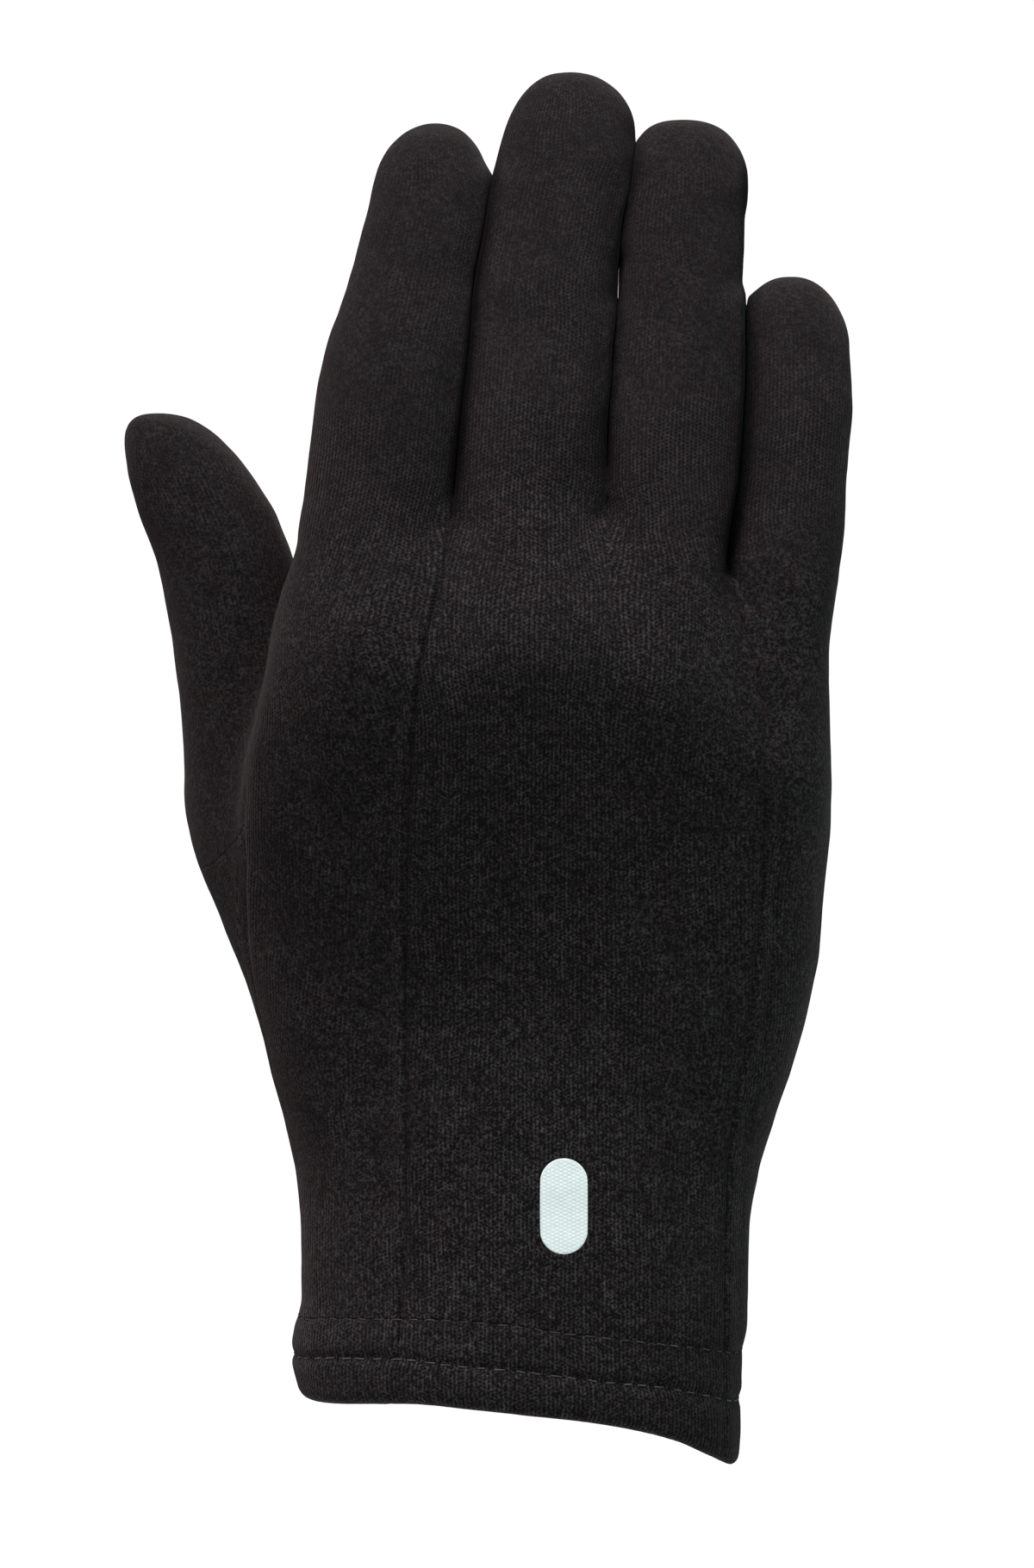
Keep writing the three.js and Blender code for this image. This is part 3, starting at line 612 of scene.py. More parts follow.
def settle(name, layout, P, cells, skin, axes, rounds=4):
    """Moves the points onto the shell's surface, and those at a cut onto the cut."""
    free = np.ones(P.shape, bool)
    for axis, place, side in CUTS[name]:
        k = np.searchsorted(axes[axis], place) - 1
        m = cells[:, axis] == k
        P[m, axis] = place + side * EDGE
        free[m, axis] = False
    h = 0.02
    todo = np.flatnonzero(skin)
    for _ in range(rounds):
        Q, fr = P[todo], free[todo]

        def value(dx):
            q = [Q[:, i] + (h if i == dx else 0) for i in range(3)]
            return shell_of(name, *layout(*q)[0], q[2])

        f0 = value(-1)
        g = np.stack([(value(i) - f0) / h for i in range(3)], 1) * fr
        step = f0 / np.maximum((g * g).sum(1), 0.05)
        move = g * step[:, None]
        size = np.linalg.norm(move, axis=1)
        P[todo] = Q - move * np.minimum(1, 0.5 / np.maximum(size, 1e-9))[:, None]
    return P


def nearest_finger(x, y, z):
    names = ("index", "middle", "ring", "little")
    d = np.stack([finger_field(n, x, y, z) for n in names])
    return names, d.argmin(0)


def close_fingers(x, y, z):
    """The inverse of the spread: each finger goes back to its own place."""
    names, k = nearest_finger(x, y, z)
    out, deep = x.copy(), y.copy()
    for i, n in enumerate(names):
        m = k == i
        out[m] -= spread(n, z[m])
    # pressed flat, a little aslant, so that no light comes through
    for left, right, line, foot, top in ((0, 1, TOUCH_INDEX, 147.5, 203), (1, 2, TOUCH_RING, 153.0, 207), (2, 3, TOUCH_LITTLE, 134.5, 182)):
        mid = at(FINGERS[names[right]]["y"], z)
        wall = at(line, z) + 0.10 * (y - mid + 4.0)
        on = smooth((z - foot) / 2.5)
        m = k == left
        e = out[m] - wall[m]
        out[m] += (blend_min(e, -0.02, 0.3) - e) * on[m]
        m = k == right
        e = out[m] - wall[m]
        out[m] += (blend_max(e, 0.02, 0.3) - e) * on[m]
        # the cloth bridges the bottom of the valley
        m = (k == left) | (k == right)
        lift = 1.7 * bell((out[m] - wall[m]) / 0.9) * smooth((z[m] - foot - 4) / 12) * smooth((top - z[m]) / 8)
        if left == 1:  # less so along the slit of light
            lift = lift * (1 - 0.75 * bell((z[m] - 184) / 10))
        deep[m] -= lift * np.tanh((mid[m] - y[m]) / 3)
    return out, deep


# ------------------------------------------------------------------------------------------------------------------
# The knit's own directions on the surface: u runs across the wales, v along them, in millimetres.
# ------------------------------------------------------------------------------------------------------------------
ANGLES = np.linspace(-math.pi, math.pi, 361)
ARC_Z = np.arange(-20.0, 156.0, 2.0)
ARC = np.zeros((2, len(ARC_Z), len(ANGLES)))  # for the back and the palm: length along the section from x = 0
for i, z0 in enumerate(ARC_Z):
    l, r, bk, pm, n = (float(at(t, z0)) for t in (LEFT, RIGHT, BACK, PALM, SQUARE))
    cs, sn = np.cos(ANGLES), np.sin(ANGLES)
    rad = (np.abs(cs) ** n + np.abs(sn) ** n) ** (-1 / n)
    px, py = (l + r) / 2 + (r - l) / 2 * rad * cs, (bk + pm) / 2 + (pm - bk) / 2 * rad * sn
    s = np.concatenate([[0], np.cumsum(np.hypot(np.diff(px), np.diff(py)))])
    half = len(ANGLES) // 2
    ARC[0, i] = s - np.interp(0, px[:half], s[:half])
    ARC[1, i] = np.interp(0, -px[half:], s[half:]) - s
FINGER_LONG = {
    n: np.interp(ZT, ZT, np.cumsum((np.sqrt(1 + f["lean"] ** 2 + np.gradient(f["y"], ZT) ** 2) - 1) * 0.25 * (ZT > 128)))
    for n, f in FINGERS.items()
}


def knit_coords(name, x, y, z):
    """x, y, z are in the spread pose."""
    side = 0 if name in ("index_side_panel", "back_panel", "little_side_panel", "hem") else 1
    l, r, bk, pm = at(LEFT, z), at(RIGHT, z), at(BACK, z), at(PALM, z)
    ang = np.arctan2((y - (bk + pm) / 2) / ((pm - bk) / 2), (x - (l + r) / 2) / ((r - l) / 2))
    past = 0.0
    if side == 1:
        ang = np.where(ang < -math.pi / 2, ang + 2 * math.pi, ang)
        past = np.maximum(ang - math.pi, 0) * (pm - bk) / 2 + np.minimum(ang, 0) * (pm - bk) / 2
        ang = np.clip(ang, 0.0, math.pi)
    fi = np.clip((z - ARC_Z[0]) / 2.0, 0, len(ARC_Z) - 1.001)
    fj = np.clip((ang + math.pi) / (2 * math.pi) * 360, 0, 359.999)
    i, j = fi.astype(int), fj.astype(int)
    ti, tj = fi - i, fj - j
    A = ARC[side]
    u = (A[i, j] * (1 - tj) + A[i, j + 1] * tj) * (1 - ti) + (A[i + 1, j] * (1 - tj) + A[i + 1, j + 1] * tj) * ti
    u = u - past
    v = z + 0.0
    if name == "hem":
        return u, v

    def of_finger(fn, xs, ys, zs, out_side):
        f = FINGERS[fn]
        cx = at(f["x"], zs) + spread(fn, zs)
        cy, a, b, lean = at(f["y"], zs), at(f["half"], zs), at(f["deep"], zs), at(f["lean"], zs)
        X, Y = (xs - cx) / a, (ys - cy) / b
        phi = np.arctan2(X, -Y) if out_side == 0 else np.arctan2(X, Y)
        cosl = 1 / np.sqrt(1 + lean**2)
        arc = ((a + b) / 2 * phi + (a - b) / 4 * np.sin(2 * phi)) * cosl
        return arc + float(at(f["x"], 128.0)), zs + at(FINGER_LONG[fn], zs) + (xs - cx) * lean * cosl

    if name == "thumb":
        uu, vv = of_finger("thumb", x, y, z, 0)
        return uu, vv
    names, k = nearest_finger(x, y, z)
    w = smooth((z - 122) / 24)
    for i, n in enumerate(names):
        m = (k == i) & (z > 120)
        if m.any():
            fu, fv = of_finger(n, x[m], y[m], z[m], side)
            u[m] = u[m] * (1 - w[m]) + fu * w[m]
            v[m] = v[m] * (1 - w[m]) + fv * w[m]
    if name == "palm_panel":
        near = (x < -20) & (z < 152)
        w = smooth((hand_field(x[near], y[near], z[near]) - finger_field("thumb", x[near], y[near], z[near]) + 1.5) / 5)
        fu, fv = of_finger("thumb", x[near], y[near], z[near], 1)
        u[near], v[near] = u[near] * (1 - w) + fu * w, v[near] * (1 - w) + fv * w
    return u, v


# Painted shade in the valleys between the fingers, where they press together: z, depth and width to the left of the
# line, then to the right.
CREASE_SHADE = [
    (0, TOUCH_INDEX, [(140, 0, 1.2, 0, 1.9), (147, 0.40, 1.3, 0.55, 2.0), (152, 0.82, 1.6, 0.84, 2.0), (161, 0.75, 1.4, 0.84, 2.0), (169, 0.50, 1.2, 0.74, 1.9), (200, 0.50, 1.2, 0.74, 1.8), (206, 0.25, 0.8, 0.4, 1.3)]),
    (1, TOUCH_RING, [(143, 0, 1.8, 0, 1.8), (149, 0.30, 1.8, 0.30, 1.8), (154, 0.66, 3.6, 0.78, 2.0), (160, 0.56, 3.2, 0.66, 2.0), (168, 0.42, 2.4, 0.52, 1.7), (205, 0.42, 2.4, 0.50, 1.7)]),
    (2, TOUCH_LITTLE, [(130, 0, 1.5, 0, 2.4), (136, 0.45, 2.4, 0.5, 2.2), (141, 0.76, 2.6, 0.74, 2.8), (150, 0.72, 2.4, 0.74, 3.4), (158, 0.66, 1.9, 0.64, 3.4), (165, 0.6, 1.3, 0.48, 3.2), (184, 0.55, 1.1, 0.42, 2.6)]),
]

# Painted shade, darkest down the middle of each valley where the two fingers meet.
CREASE_SHADE_CORES = [  # the same for the dark middle of each valley: z, depth
    [(145, 0), (150, 0.75), (175, 0.60), (200, 0.45), (206, 0.2)],
    [(150, 0), (155, 0.65), (162, 0.55), (205, 0.40)],
    [(133, 0), (138, 0.80), (152, 0.80), (166, 0.55), (184, 0.45)],
]
# Painted light and shade in the cloth's colour over broad stretches: paler over the fingers, across the wrist, at the
# cuff's left and along the hand's right edge, darker on the flat of the back, over the thumb's edge and at the cuff's
# right: x, z, reach in x and z, how much.
PAINTED_LIGHT_TONES = [(8, 168, 60, 20, 0.26), (5, 172, 12, 12, 0.12), (-20, 98, 26, 22, -0.28), (16, 100, 22, 18, -0.17), (-30, 66, 14, 14, -0.13), (-24, 16, 22, 22, 0.28), (4, 48, 16, 16, 0.15), (34, 4, 12, 12, -0.20), (47, 92, 6, 26, 0.28), (-42, 104, 4, 26, -0.10), (0, 78, 22, 11, -0.06)]


# The shade attribute: painted shade in the finger valleys, broad painted light and shade, and painted shade and
# highlight along the back's seams, all multiplied into the cloth's colour.
def shade_of(x, y, z, xc):
    _, k = nearest_finger(x, y, z)
    s = np.ones_like(x)
    for left, line, rows in CREASE_SHADE:
        T = np.array(rows).T
        al, wl, ar, wr = (np.interp(z, T[0], T[i]) for i in (1, 2, 3, 4))
        d = np.abs(xc - at(line, z))
        s = s * np.where(k <= left, 1 - al * bell(d / wl), 1 - ar * bell(d / wr))
        C = np.array(CREASE_SHADE_CORES[left]).T
        s = s * (1 - np.interp(z, C[0], C[1]) * bell(d / 0.9))
    front = smooth((side_y(x, z) - y - 1.5) / 3) * (1 - 0.6 * smooth((14 - z) / 3))
    # broad painted light and shade over the back and fingers
    for tx, tz, rx, rz, amount in PAINTED_LIGHT_TONES:
        s = s * (1 + amount * bell((xc - tx) / rx) * bell((z - tz) / rz) * smooth((side_y(x, z) - y + 2) / 6))
    # along both seams of the back: painted shade in the groove and a painted highlight on the welt beside it
    ds = xc - at(SEAM_INDEX, z)
    on = front * smooth((150 - z) / 6)
    s = s * (1 - (0.38 + 0.2 * bell((z - 123) / 9)) * bell(ds / 0.58) * on)
    s = s * (1 + (0.10 + 0.2 * bell((z - 70) / 14)) * bell((ds + 1.15) / 0.75) * on)
    ds = xc - at(SEAM_LITTLE, z)
    on = front * smooth((138 - z) / 6)
    s = s * (1 - 0.24 * bell(ds / 0.6) * on) * (1 + 0.12 * bell((ds - 1.4) / 0.9) * on) * (1 - 0.08 * bell((ds - 2.8) / 0.7) * on)
    return s


# ------------------------------------------------------------------------------------------------------------------
# Making the pieces
# ------------------------------------------------------------------------------------------------------------------
scene = bpy.context.scene


def mesh_object(name, verts, faces, attrs=None, smooth_shade=True):
    """verts in metres; faces an array of quads or a list."""
    me = bpy.data.meshes.new(name)
    faces = np.asarray(faces)
    n = faces.shape[1]
    me.vertices.add(len(verts))
    me.vertices.foreach_set("co", np.asarray(verts, np.float32).ravel())
    me.loops.add(faces.size)
    me.loops.foreach_set("vertex_index", faces.ravel().astype(np.int32))
    me.polygons.add(len(faces))
    me.polygons.foreach_set("loop_start", np.arange(0, faces.size, n, dtype=np.int32))
    me.polygons.foreach_set("loop_total", np.full(len(faces), n, np.int32))
    me.polygons.foreach_set("use_smooth", np.full(len(faces), smooth_shade, bool))
    for key, val in (attrs or {}).items():
        val = np.asarray(val, np.float32)
        a = me.attributes.new(key, "FLOAT_VECTOR" if val.ndim == 2 else "FLOAT", "POINT")
        a.data.foreach_set("vector" if val.ndim == 2 else "value", val.ravel())
    me.update(calc_edges=True)
    me.validate()
    ob = bpy.data.objects.new(name, me)
    scene.collection.objects.link(ob)
    return ob


def make_piece(name, field, U, V, W, own_layout_hem=False):
    t = time.time()
    u3, v3, w3 = U[:, None, None], V[None, :, None], W[None, None, :]
    place, cut = field(u3, v3, w3)
    S = np.broadcast_to(shell_of(name, *place, w3), (len(U), len(V), len(W)))
    if name == "hem":
        cut = np.broadcast_to(w3 - HEM_Z + EDGE, S.shape)
    P, quads, cells, skin = nets(np.maximum(S, cut), S, (U, V, W))
    P = settle(name, field, P, cells, skin, (U, V, W))
    x, y, z = field(P[:, 0], P[:, 1], P[:, 2])[0]
    x, y, z = (np.broadcast_to(c, (len(P),)).copy() for c in (x, y, z))
    u, v = knit_coords(name, x, y, z)
    xc, yc = (x, y) if name == "thumb" else close_fingers(x, y, z)
    verts = np.stack([xc, yc, z], 1)
    ob = mesh_object("knit_" + name, verts * MM, quads, {"knit": np.stack([u, v, z], 1), "shade": shade_of(x, y, z, xc)})
    print("piece", name, len(verts), "verts", len(quads) * 2, "tris", round(time.time() - t, 1), "s")
    return ob


G = 0.78
Wbody = steps(HEM_Z - 2.0, 222.0, G, fine=(HEM_Z,), fine_size=0.4)
Wpalm = steps(HEM_Z - 2.0, 222.0, 0.85, fine=(HEM_Z, THUMB_Z), fine_size=0.4, reach=0.8)
Vback = steps(-24.5, 1.6, 0.72, fine=(0.0,), fine_size=0.4, reach=0.8)
Vfront = steps(-1.6, 31.0, 0.78, fine=(0.0,), fine_size=0.4, reach=0.8)
pieces = {}
pieces["index_side_panel"] = make_piece("index_side_panel", piece_index, steps(-48, INDEX_X + 1.2, 0.72, fine=(INDEX_X,), fine_size=0.3), Vback, Wbody)
pieces["back_panel"] = make_piece("back_panel", piece_back, steps(INDEX_X - 1.2, LITTLE_X + 1.2, 0.72, fine=(INDEX_X, LITTLE_X), fine_size=0.3), Vback, Wbody)
pieces["little_side_panel"] = make_piece("little_side_panel", piece_little, steps(LITTLE_X - 1.2, 60, 0.72, fine=(LITTLE_X,), fine_size=0.3), Vback, Wbody)
pieces["palm_panel"] = make_piece("palm_panel", piece_palm, steps(-62, 62, 0.85, fine=(THUMB_X,), fine_size=0.45, reach=0.8), Vfront, Wpalm)
pieces["thumb"] = make_piece("thumb", piece_thumb, steps(-74, THUMB_X + 1.2, 0.75, fine=(THUMB_X,), fine_size=0.45, reach=0.8), steps(-1.6, 36.0, 0.75, fine=(0.0,), fine_size=0.4, reach=0.8), steps(92.0, 168.0, 0.75, fine=(THUMB_Z,), fine_size=0.4, reach=0.8))
pieces["hem"] = make_piece("hem", piece_hem, steps(-39, 40, 0.7), steps(-23, 23, 0.7), steps(-1.6, HEM_Z + 1.2, 0.6, fine=(HEM_Z,), fine_size=0.3))
print("meshes", round(time.time() - T0, 1), "s")


# ------------------------------------------------------------------------------------------------------------------
# Materials
# ------------------------------------------------------------------------------------------------------------------
class Nodes:
    def __init__(self, name):
        self.mat = bpy.data.materials.new(name)
        self.mat.use_nodes = True
        self.t = self.mat.node_tree
        self.t.nodes.clear()
        self.out = self.t.nodes.new("ShaderNodeOutputMaterial")

    def add(self, kind, **props):
        n = self.t.nodes.new("ShaderNode" + kind)
        for k, v in props.items():
            setattr(n, k, v)
        return n

    def link(self, a, b):
        self.t.links.new(a, b)

    def put(self, sock, val):
        if hasattr(val, "is_output"):
            self.link(val, sock)
        else:
            sock.default_value = val

    def math(self, op, a, b=None, c=None, clamp=False):
        n = self.add("Math", operation=op, use_clamp=clamp)
        for i, v in enumerate((a, b, c)):
            if v is not None:
                self.put(n.inputs[i], v)
        return n.outputs[0]

    def mix(self, fac, a, b, mode="MIX"):
        n = self.add("Mix", data_type="RGBA", blend_type=mode)
        n.clamp_factor = True
        self.put(n.inputs[0], fac)
        self.put(n.inputs[6], a)
        self.put(n.inputs[7], b)
        return n.outputs[2]

    def noise(self, vec, scale, detail=2.0, rough=0.5):
        n = self.add("TexNoise")
        self.link(vec, n.inputs["Vector"])
        n.inputs["Scale"].default_value = scale
        n.inputs["Detail"].default_value = detail
        n.inputs["Roughness"].default_value = rough
        return n

    def ramp(self, val, lo, hi, a=0.0, b=1.0):
        n = self.add("MapRange", interpolation_type="SMOOTHSTEP")
        self.put(n.inputs["Value"], val)
        for k, v in (("From Min", lo), ("From Max", hi), ("To Min", a), ("To Max", b)):
            n.inputs[k].default_value = v
        return n.outputs["Result"]


WALE, COURSE = 0.67, 0.60


def knit_material(name, base, clear, flecks, calm):
    """A brushed fine knit. base is its linear colour; clear is how plainly the loops show; flecks and calm are how
    strong its mottling is over the hand and over the fingers."""
    M = Nodes(name)
    shade = M.add("Attribute", attribute_name="shade").outputs["Fac"]
    at_ = M.add("Attribute", attribute_name="knit")
    sep = M.add("SeparateXYZ")
    M.link(at_.outputs["Vector"], sep.inputs[0])
    geo = M.add("TexCoord")
    obj = geo.outputs["Object"]
    # the loops wander a little, as a worn knit's do
    wob = M.noise(obj, 260.0, 2.0)
    ws = M.add("SeparateColor")
    M.link(wob.outputs["Color"], ws.inputs[0])
    u = M.math("ADD", sep.outputs[0], M.math("MULTIPLY", M.math("SUBTRACT", ws.outputs[0], 0.5), 0.45))
    v = M.math("ADD", sep.outputs[1], M.math("MULTIPLY", M.math("SUBTRACT", ws.outputs[1], 0.5), 0.40))
    a = M.math("MULTIPLY", u, 2 * math.pi / WALE)
    b = M.math("MULTIPLY", v, 2 * math.pi / COURSE)
    half = M.math("MULTIPLY", a, 0.5)
    column = M.math("MULTIPLY_ADD", M.math("COSINE", a), 0.5, 0.5)  # 1 down the middle of a column of holes, 0 on a rib
    rung = M.math("MULTIPLY", M.math("COSINE", M.math("MULTIPLY", a, 0.5)), M.math("COSINE", b))
    hole = M.ramp(M.math("MULTIPLY", column, M.math("MULTIPLY_ADD", rung, 0.42, 0.58)), 0.12, 0.95)
    # where the brushing has covered the loops, they fade
    patch = M.ramp(M.noise(obj, 95.0, 3.0, 0.55).outputs[0], 0.36, 0.66)
    side = M.ramp(M.math("ABSOLUTE", M.math("SUBTRACT", sep.outputs[0], 2.0)), 11, 24)
    stretch = M.math("MULTIPLY_ADD", M.ramp(sep.outputs[2], 96, 126, 0.0, 0.55), M.math("MULTIPLY_ADD", side, -0.85, 1.0), M.math("MULTIPLY_ADD", M.ramp(sep.outputs[2], 130, 165, 0.0, 0.70), side, M.ramp(sep.outputs[2], 146, 172, 0.0, -1.05)))
    low = M.math("SUBTRACT", M.ramp(sep.outputs[2], 10, 52, 0.60, 0.25), M.math("MULTIPLY", side, 0.40))
    root = M.math("MULTIPLY", M.ramp(sep.outputs[0], 30, 36, 0.0, -0.5), M.ramp(sep.outputs[2], 138, 150, 1.0, 0.0))  # brushed smooth at the little finger's root
    stretch = M.math("MULTIPLY_ADD", root, M.ramp(sep.outputs[2], 84, 104), stretch)
    seen = M.math("MULTIPLY", M.math("ADD", M.math("ADD", M.math("MULTIPLY", patch, 0.55), stretch), M.math("ADD", low, 0.38)), clear, clamp=True)
    pit = M.math("MULTIPLY", hole, seen)
    rib = M.math("MULTIPLY", M.math("SUBTRACT", 1.0, column), seen)
    fine = M.noise(obj, 2300.0, 2.0, 0.7).outputs[0]
    mid = M.noise(obj, 1000.0, 3.0, 0.65).outputs[0]
    # colour: dark in the holes and paler on the ribs, painted shade in the knit's openings and painted light on its
    # raised loops; paler too where the fibres are raised, with a few warm and cool flecks
    tone = M.math("SUBTRACT", M.math("MULTIPLY_ADD", rib, 0.65, 1.05), M.math("MULTIPLY", pit, 1.0))
    mottle = M.math("MULTIPLY", M.ramp(fine, 0.34, 0.68, 0.22, 2.0), M.ramp(mid, 0.30, 0.70, 0.55, 1.45))
    amount = M.ramp(M.math("MULTIPLY_ADD", side, 16.0, sep.outputs[2]), 138, 170, flecks, calm)
    centre = M.math("MULTIPLY_ADD", side, M.ramp(sep.outputs[2], 130, 165, -0.12, -0.20), M.ramp(sep.outputs[2], 130, 165, 1.33, 1.2))
    amount = M.math("MULTIPLY", M.math("MULTIPLY", amount, centre), M.math("MULTIPLY_ADD", M.ramp(sep.outputs[2], 98, 118, 0.0, -0.16), M.math("SUBTRACT", 1.0, side), 1.0))
    mottle = M.math("MAXIMUM", M.math("MULTIPLY_ADD", M.math("SUBTRACT", mottle, 1.0), amount, 1.0), 0.06)
    tone = M.math("MULTIPLY", M.math("MAXIMUM", tone, 0.12), mottle)
    tone = M.math("MULTIPLY", tone, M.ramp(M.noise(obj, 210.0, 3.0, 0.6).outputs[0], 0.3, 0.7, 0.84, 1.16))
    # the shade attribute's painted shade and light, multiplied into the colour
    tone = M.math("MULTIPLY", tone, shade)
    hue = M.noise(obj, 330.0, 3.0, 0.6).outputs[0]
    col = M.mix(M.ramp(hue, 0.48, 0.70), (base[0], base[1], base[2], 1), (base[0] * 1.13, base[1] * 0.97, base[2] * 0.99, 1))
    col = M.mix(M.ramp(hue, 0.50, 0.30), col, (base[0] * 0.94, base[1] * 1.02, base[2] * 1.03, 1))
    # the fingers are tinted warmer: painted warm light, where the warm key lamp falls more strongly on them
    col = M.mix(M.ramp(sep.outputs[2], 118, 152), col, M.mix(1.0, col, (1.0, 0.925, 0.945, 1), "MULTIPLY"))
    vm = M.add("VectorMath", operation="SCALE")
    M.link(col, vm.inputs[0])
    M.link(tone, vm.inputs["Scale"])
    # relief
    height = M.math("SUBTRACT", M.math("MULTIPLY", rib, 0.065), M.math("MULTIPLY", pit, 0.085))
    height = M.math("ADD", height, M.math("MULTIPLY", fine, 0.08))
    height = M.math("ADD", height, M.math("MULTIPLY", mid, 0.08))
    bump = M.add("Bump")
    bump.inputs["Strength"].default_value = 0.85
    bump.inputs["Distance"].default_value = 0.001
    M.link(height, bump.inputs["Height"])
    p = M.add("BsdfPrincipled")
    M.link(vm.outputs[0], p.inputs["Base Color"])
    M.link(M.ramp(fine, 0.3, 0.7, 0.86, 0.98), p.inputs["Roughness"])
    p.inputs["Specular IOR Level"].default_value = 0.09
    # the sheen is dimmed by the same painted shade
    M.link(M.math("MULTIPLY", shade, 0.052), p.inputs["Sheen Weight"])
    p.inputs["Sheen Roughness"].default_value = 0.55
    p.inputs["Sheen Tint"].default_value = (0.9, 0.84, 0.84, 1)
    M.link(bump.outputs[0], p.inputs["Normal"])
    M.link(p.outputs[0], M.out.inputs["Surface"])
    return M.mat


KNIT = (0.0084, 0.0082, 0.0083)
knit = knit_material("brushed_knit", KNIT, 1.0, 1.2, 0.72)
hem_knit = knit_material("hem_knit", tuple(c * 1.08 for c in KNIT), 1.2, 1.05, 1.05)
thumb_knit = knit_material("thumb_knit", KNIT, 0.4, 0.88, 0.88)

for name, ob in pieces.items():
    ob.data.materials.append({"hem": hem_knit, "thumb": thumb_knit}.get(name, knit))
    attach(ob, "root")
    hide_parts(name)

# ------------------------------------------------------------------------------------------------------------------
# Stitches
# ------------------------------------------------------------------------------------------------------------------


def surface_y(x, z, front=True, rounds=30):
    """y of the cloth's outside at x and z, by halving the interval."""
    mid = (at(BACK, z) + at(PALM, z)) / 2
    near, far = mid, np.where(front, -34.0, 34.0) + 0 * z
    for _ in range(rounds):
        m = (near + far) / 2
        inside = glove_field(x, m, z) + relief(x, m, z) < 0
        near, far = np.where(inside, m, near), np.where(inside, far, m)
    return near


from mathutils import Vector
from mathutils.bvhtree import BVHTree

_v, _q, _n = [], [], 0
for _name in ("hem", "back_panel", "index_side_panel", "little_side_panel", "palm_panel"):
    _me = pieces[_name].data
    _c = np.empty(len(_me.vertices) * 3, np.float32)
    _me.vertices.foreach_get("co", _c)
    _c = _c.reshape(-1, 3)
    _f = np.empty(len(_me.polygons) * 4, np.int32)
    _me.polygons.foreach_get("vertices", _f)
    _f = _f.reshape(-1, 4)
    _f = _f[_c[_f[:, 0], 2] < 0.024]
    _v.append(_c)
    _q.append(_f + _n)
    _n += len(_c)
CUFF = BVHTree.FromPolygons(np.concatenate(_v).tolist(), np.concatenate(_q).tolist())


def ring_points(samples, n=720):
    """Points round the cuff on one of the hem's lines, with their outward directions."""
    t = np.linspace(0, 2 * math.pi, n, endpoint=False) - math.pi / 2
    x, y = 36 * np.cos(t), 20 * np.sin(t)
    for _ in range(25):
        z = along_x(samples, x) + hem_lift(y)
        f0 = glove_field(x, y, z) + relief(x, y, z)
        h = 0.05
        gx = (glove_field(x + h, y, z) + relief(x + h, y, z) - f0) / h
        gy = (glove_field(x, y + h, z) + relief(x, y + h, z) - f0) / h
        s = f0 / np.maximum(gx * gx + gy * gy, 0.2)
        x, y = x - s * gx, y - s * gy
    z = along_x(samples, x) + hem_lift(y)
    nrm = np.stack([gx, gy, 0 * gx], 1)
    nrm /= np.linalg.norm(nrm, axis=1)[:, None]
    pts = np.stack([x, y, z], 1)
    for i in range(len(pts)):
        hit = CUFF.ray_cast(Vector((pts[i] + nrm[i] * 3) * MM), Vector(-nrm[i]), 0.006)[0]
        if hit is not None:
            pts[i] = np.array(hit) / MM
    off = ((pts - np.stack([x, y, z], 1)) * nrm).sum(1)
    w = np.hanning(9)
    off = np.convolve(np.concatenate([off[-4:], off, off[:4]]), w / w.sum(), "valid")
    return np.stack([x, y, z], 1) + nrm * off[:, None], nrm


def thread(points, normals, pitch, length, radius, sunk, rng, sides=6, rings=7):
    """Separate stitches laid along a closed line, each a little bowed, as one mesh."""
    closed = np.vstack([points, points[:1]])
    cn = np.vstack([normals, normals[:1]])
    s = np.concatenate([[0], np.cumsum(np.linalg.norm(np.diff(closed, axis=0), axis=1))])
    count = int(s[-1] / pitch)
    pitch = s[-1] / count
    V, Q = [], []
    for i in range(count):
        L = length * rng.uniform(0.82, 1.1)
        s0 = i * pitch + rng.uniform(-0.12, 0.12) * pitch
        r = radius * rng.uniform(0.85, 1.15)
        tilt = rng.uniform(-0.10, 0.10)
        k = np.linspace(-1, 1, rings)
        d = (s0 + k * L / 2) % s[-1]
        p = np.stack([np.interp(d, s, closed[:, j]) for j in range(3)], 1)
        nn = np.stack([np.interp(d, s, cn[:, j]) for j in range(3)], 1)
        nn /= np.linalg.norm(nn, axis=1)[:, None]
        tan = np.gradient(p, axis=0)
        tan /= np.linalg.norm(tan, axis=1)[:, None]
        side = np.cross(nn, tan)
        p = p + nn * (r * 0.55 - sunk - (k**4)[:, None] * r * 2.4) + side * (k * tilt)[:, None]
        rr = r * np.sqrt(np.clip(1 - 0.85 * k**6, 0.05, 1))
        base = len(V) * sides * rings
        ring = []
        for a in np.linspace(0, 2 * math.pi, sides, endpoint=False):
            ring.append(p + (nn * math.cos(a) + side * math.sin(a)) * rr[:, None])
        ring = np.stack(ring, 1).reshape(-1, 3)
        V.append(ring)
        for m in range(rings - 1):
            for q in range(sides):
                q2 = (q + 1) % sides
                Q.append((base + m * sides + q, base + m * sides + q2, base + (m + 1) * sides + q2, base + (m + 1) * sides + q))
    return np.concatenate(V), np.array(Q)


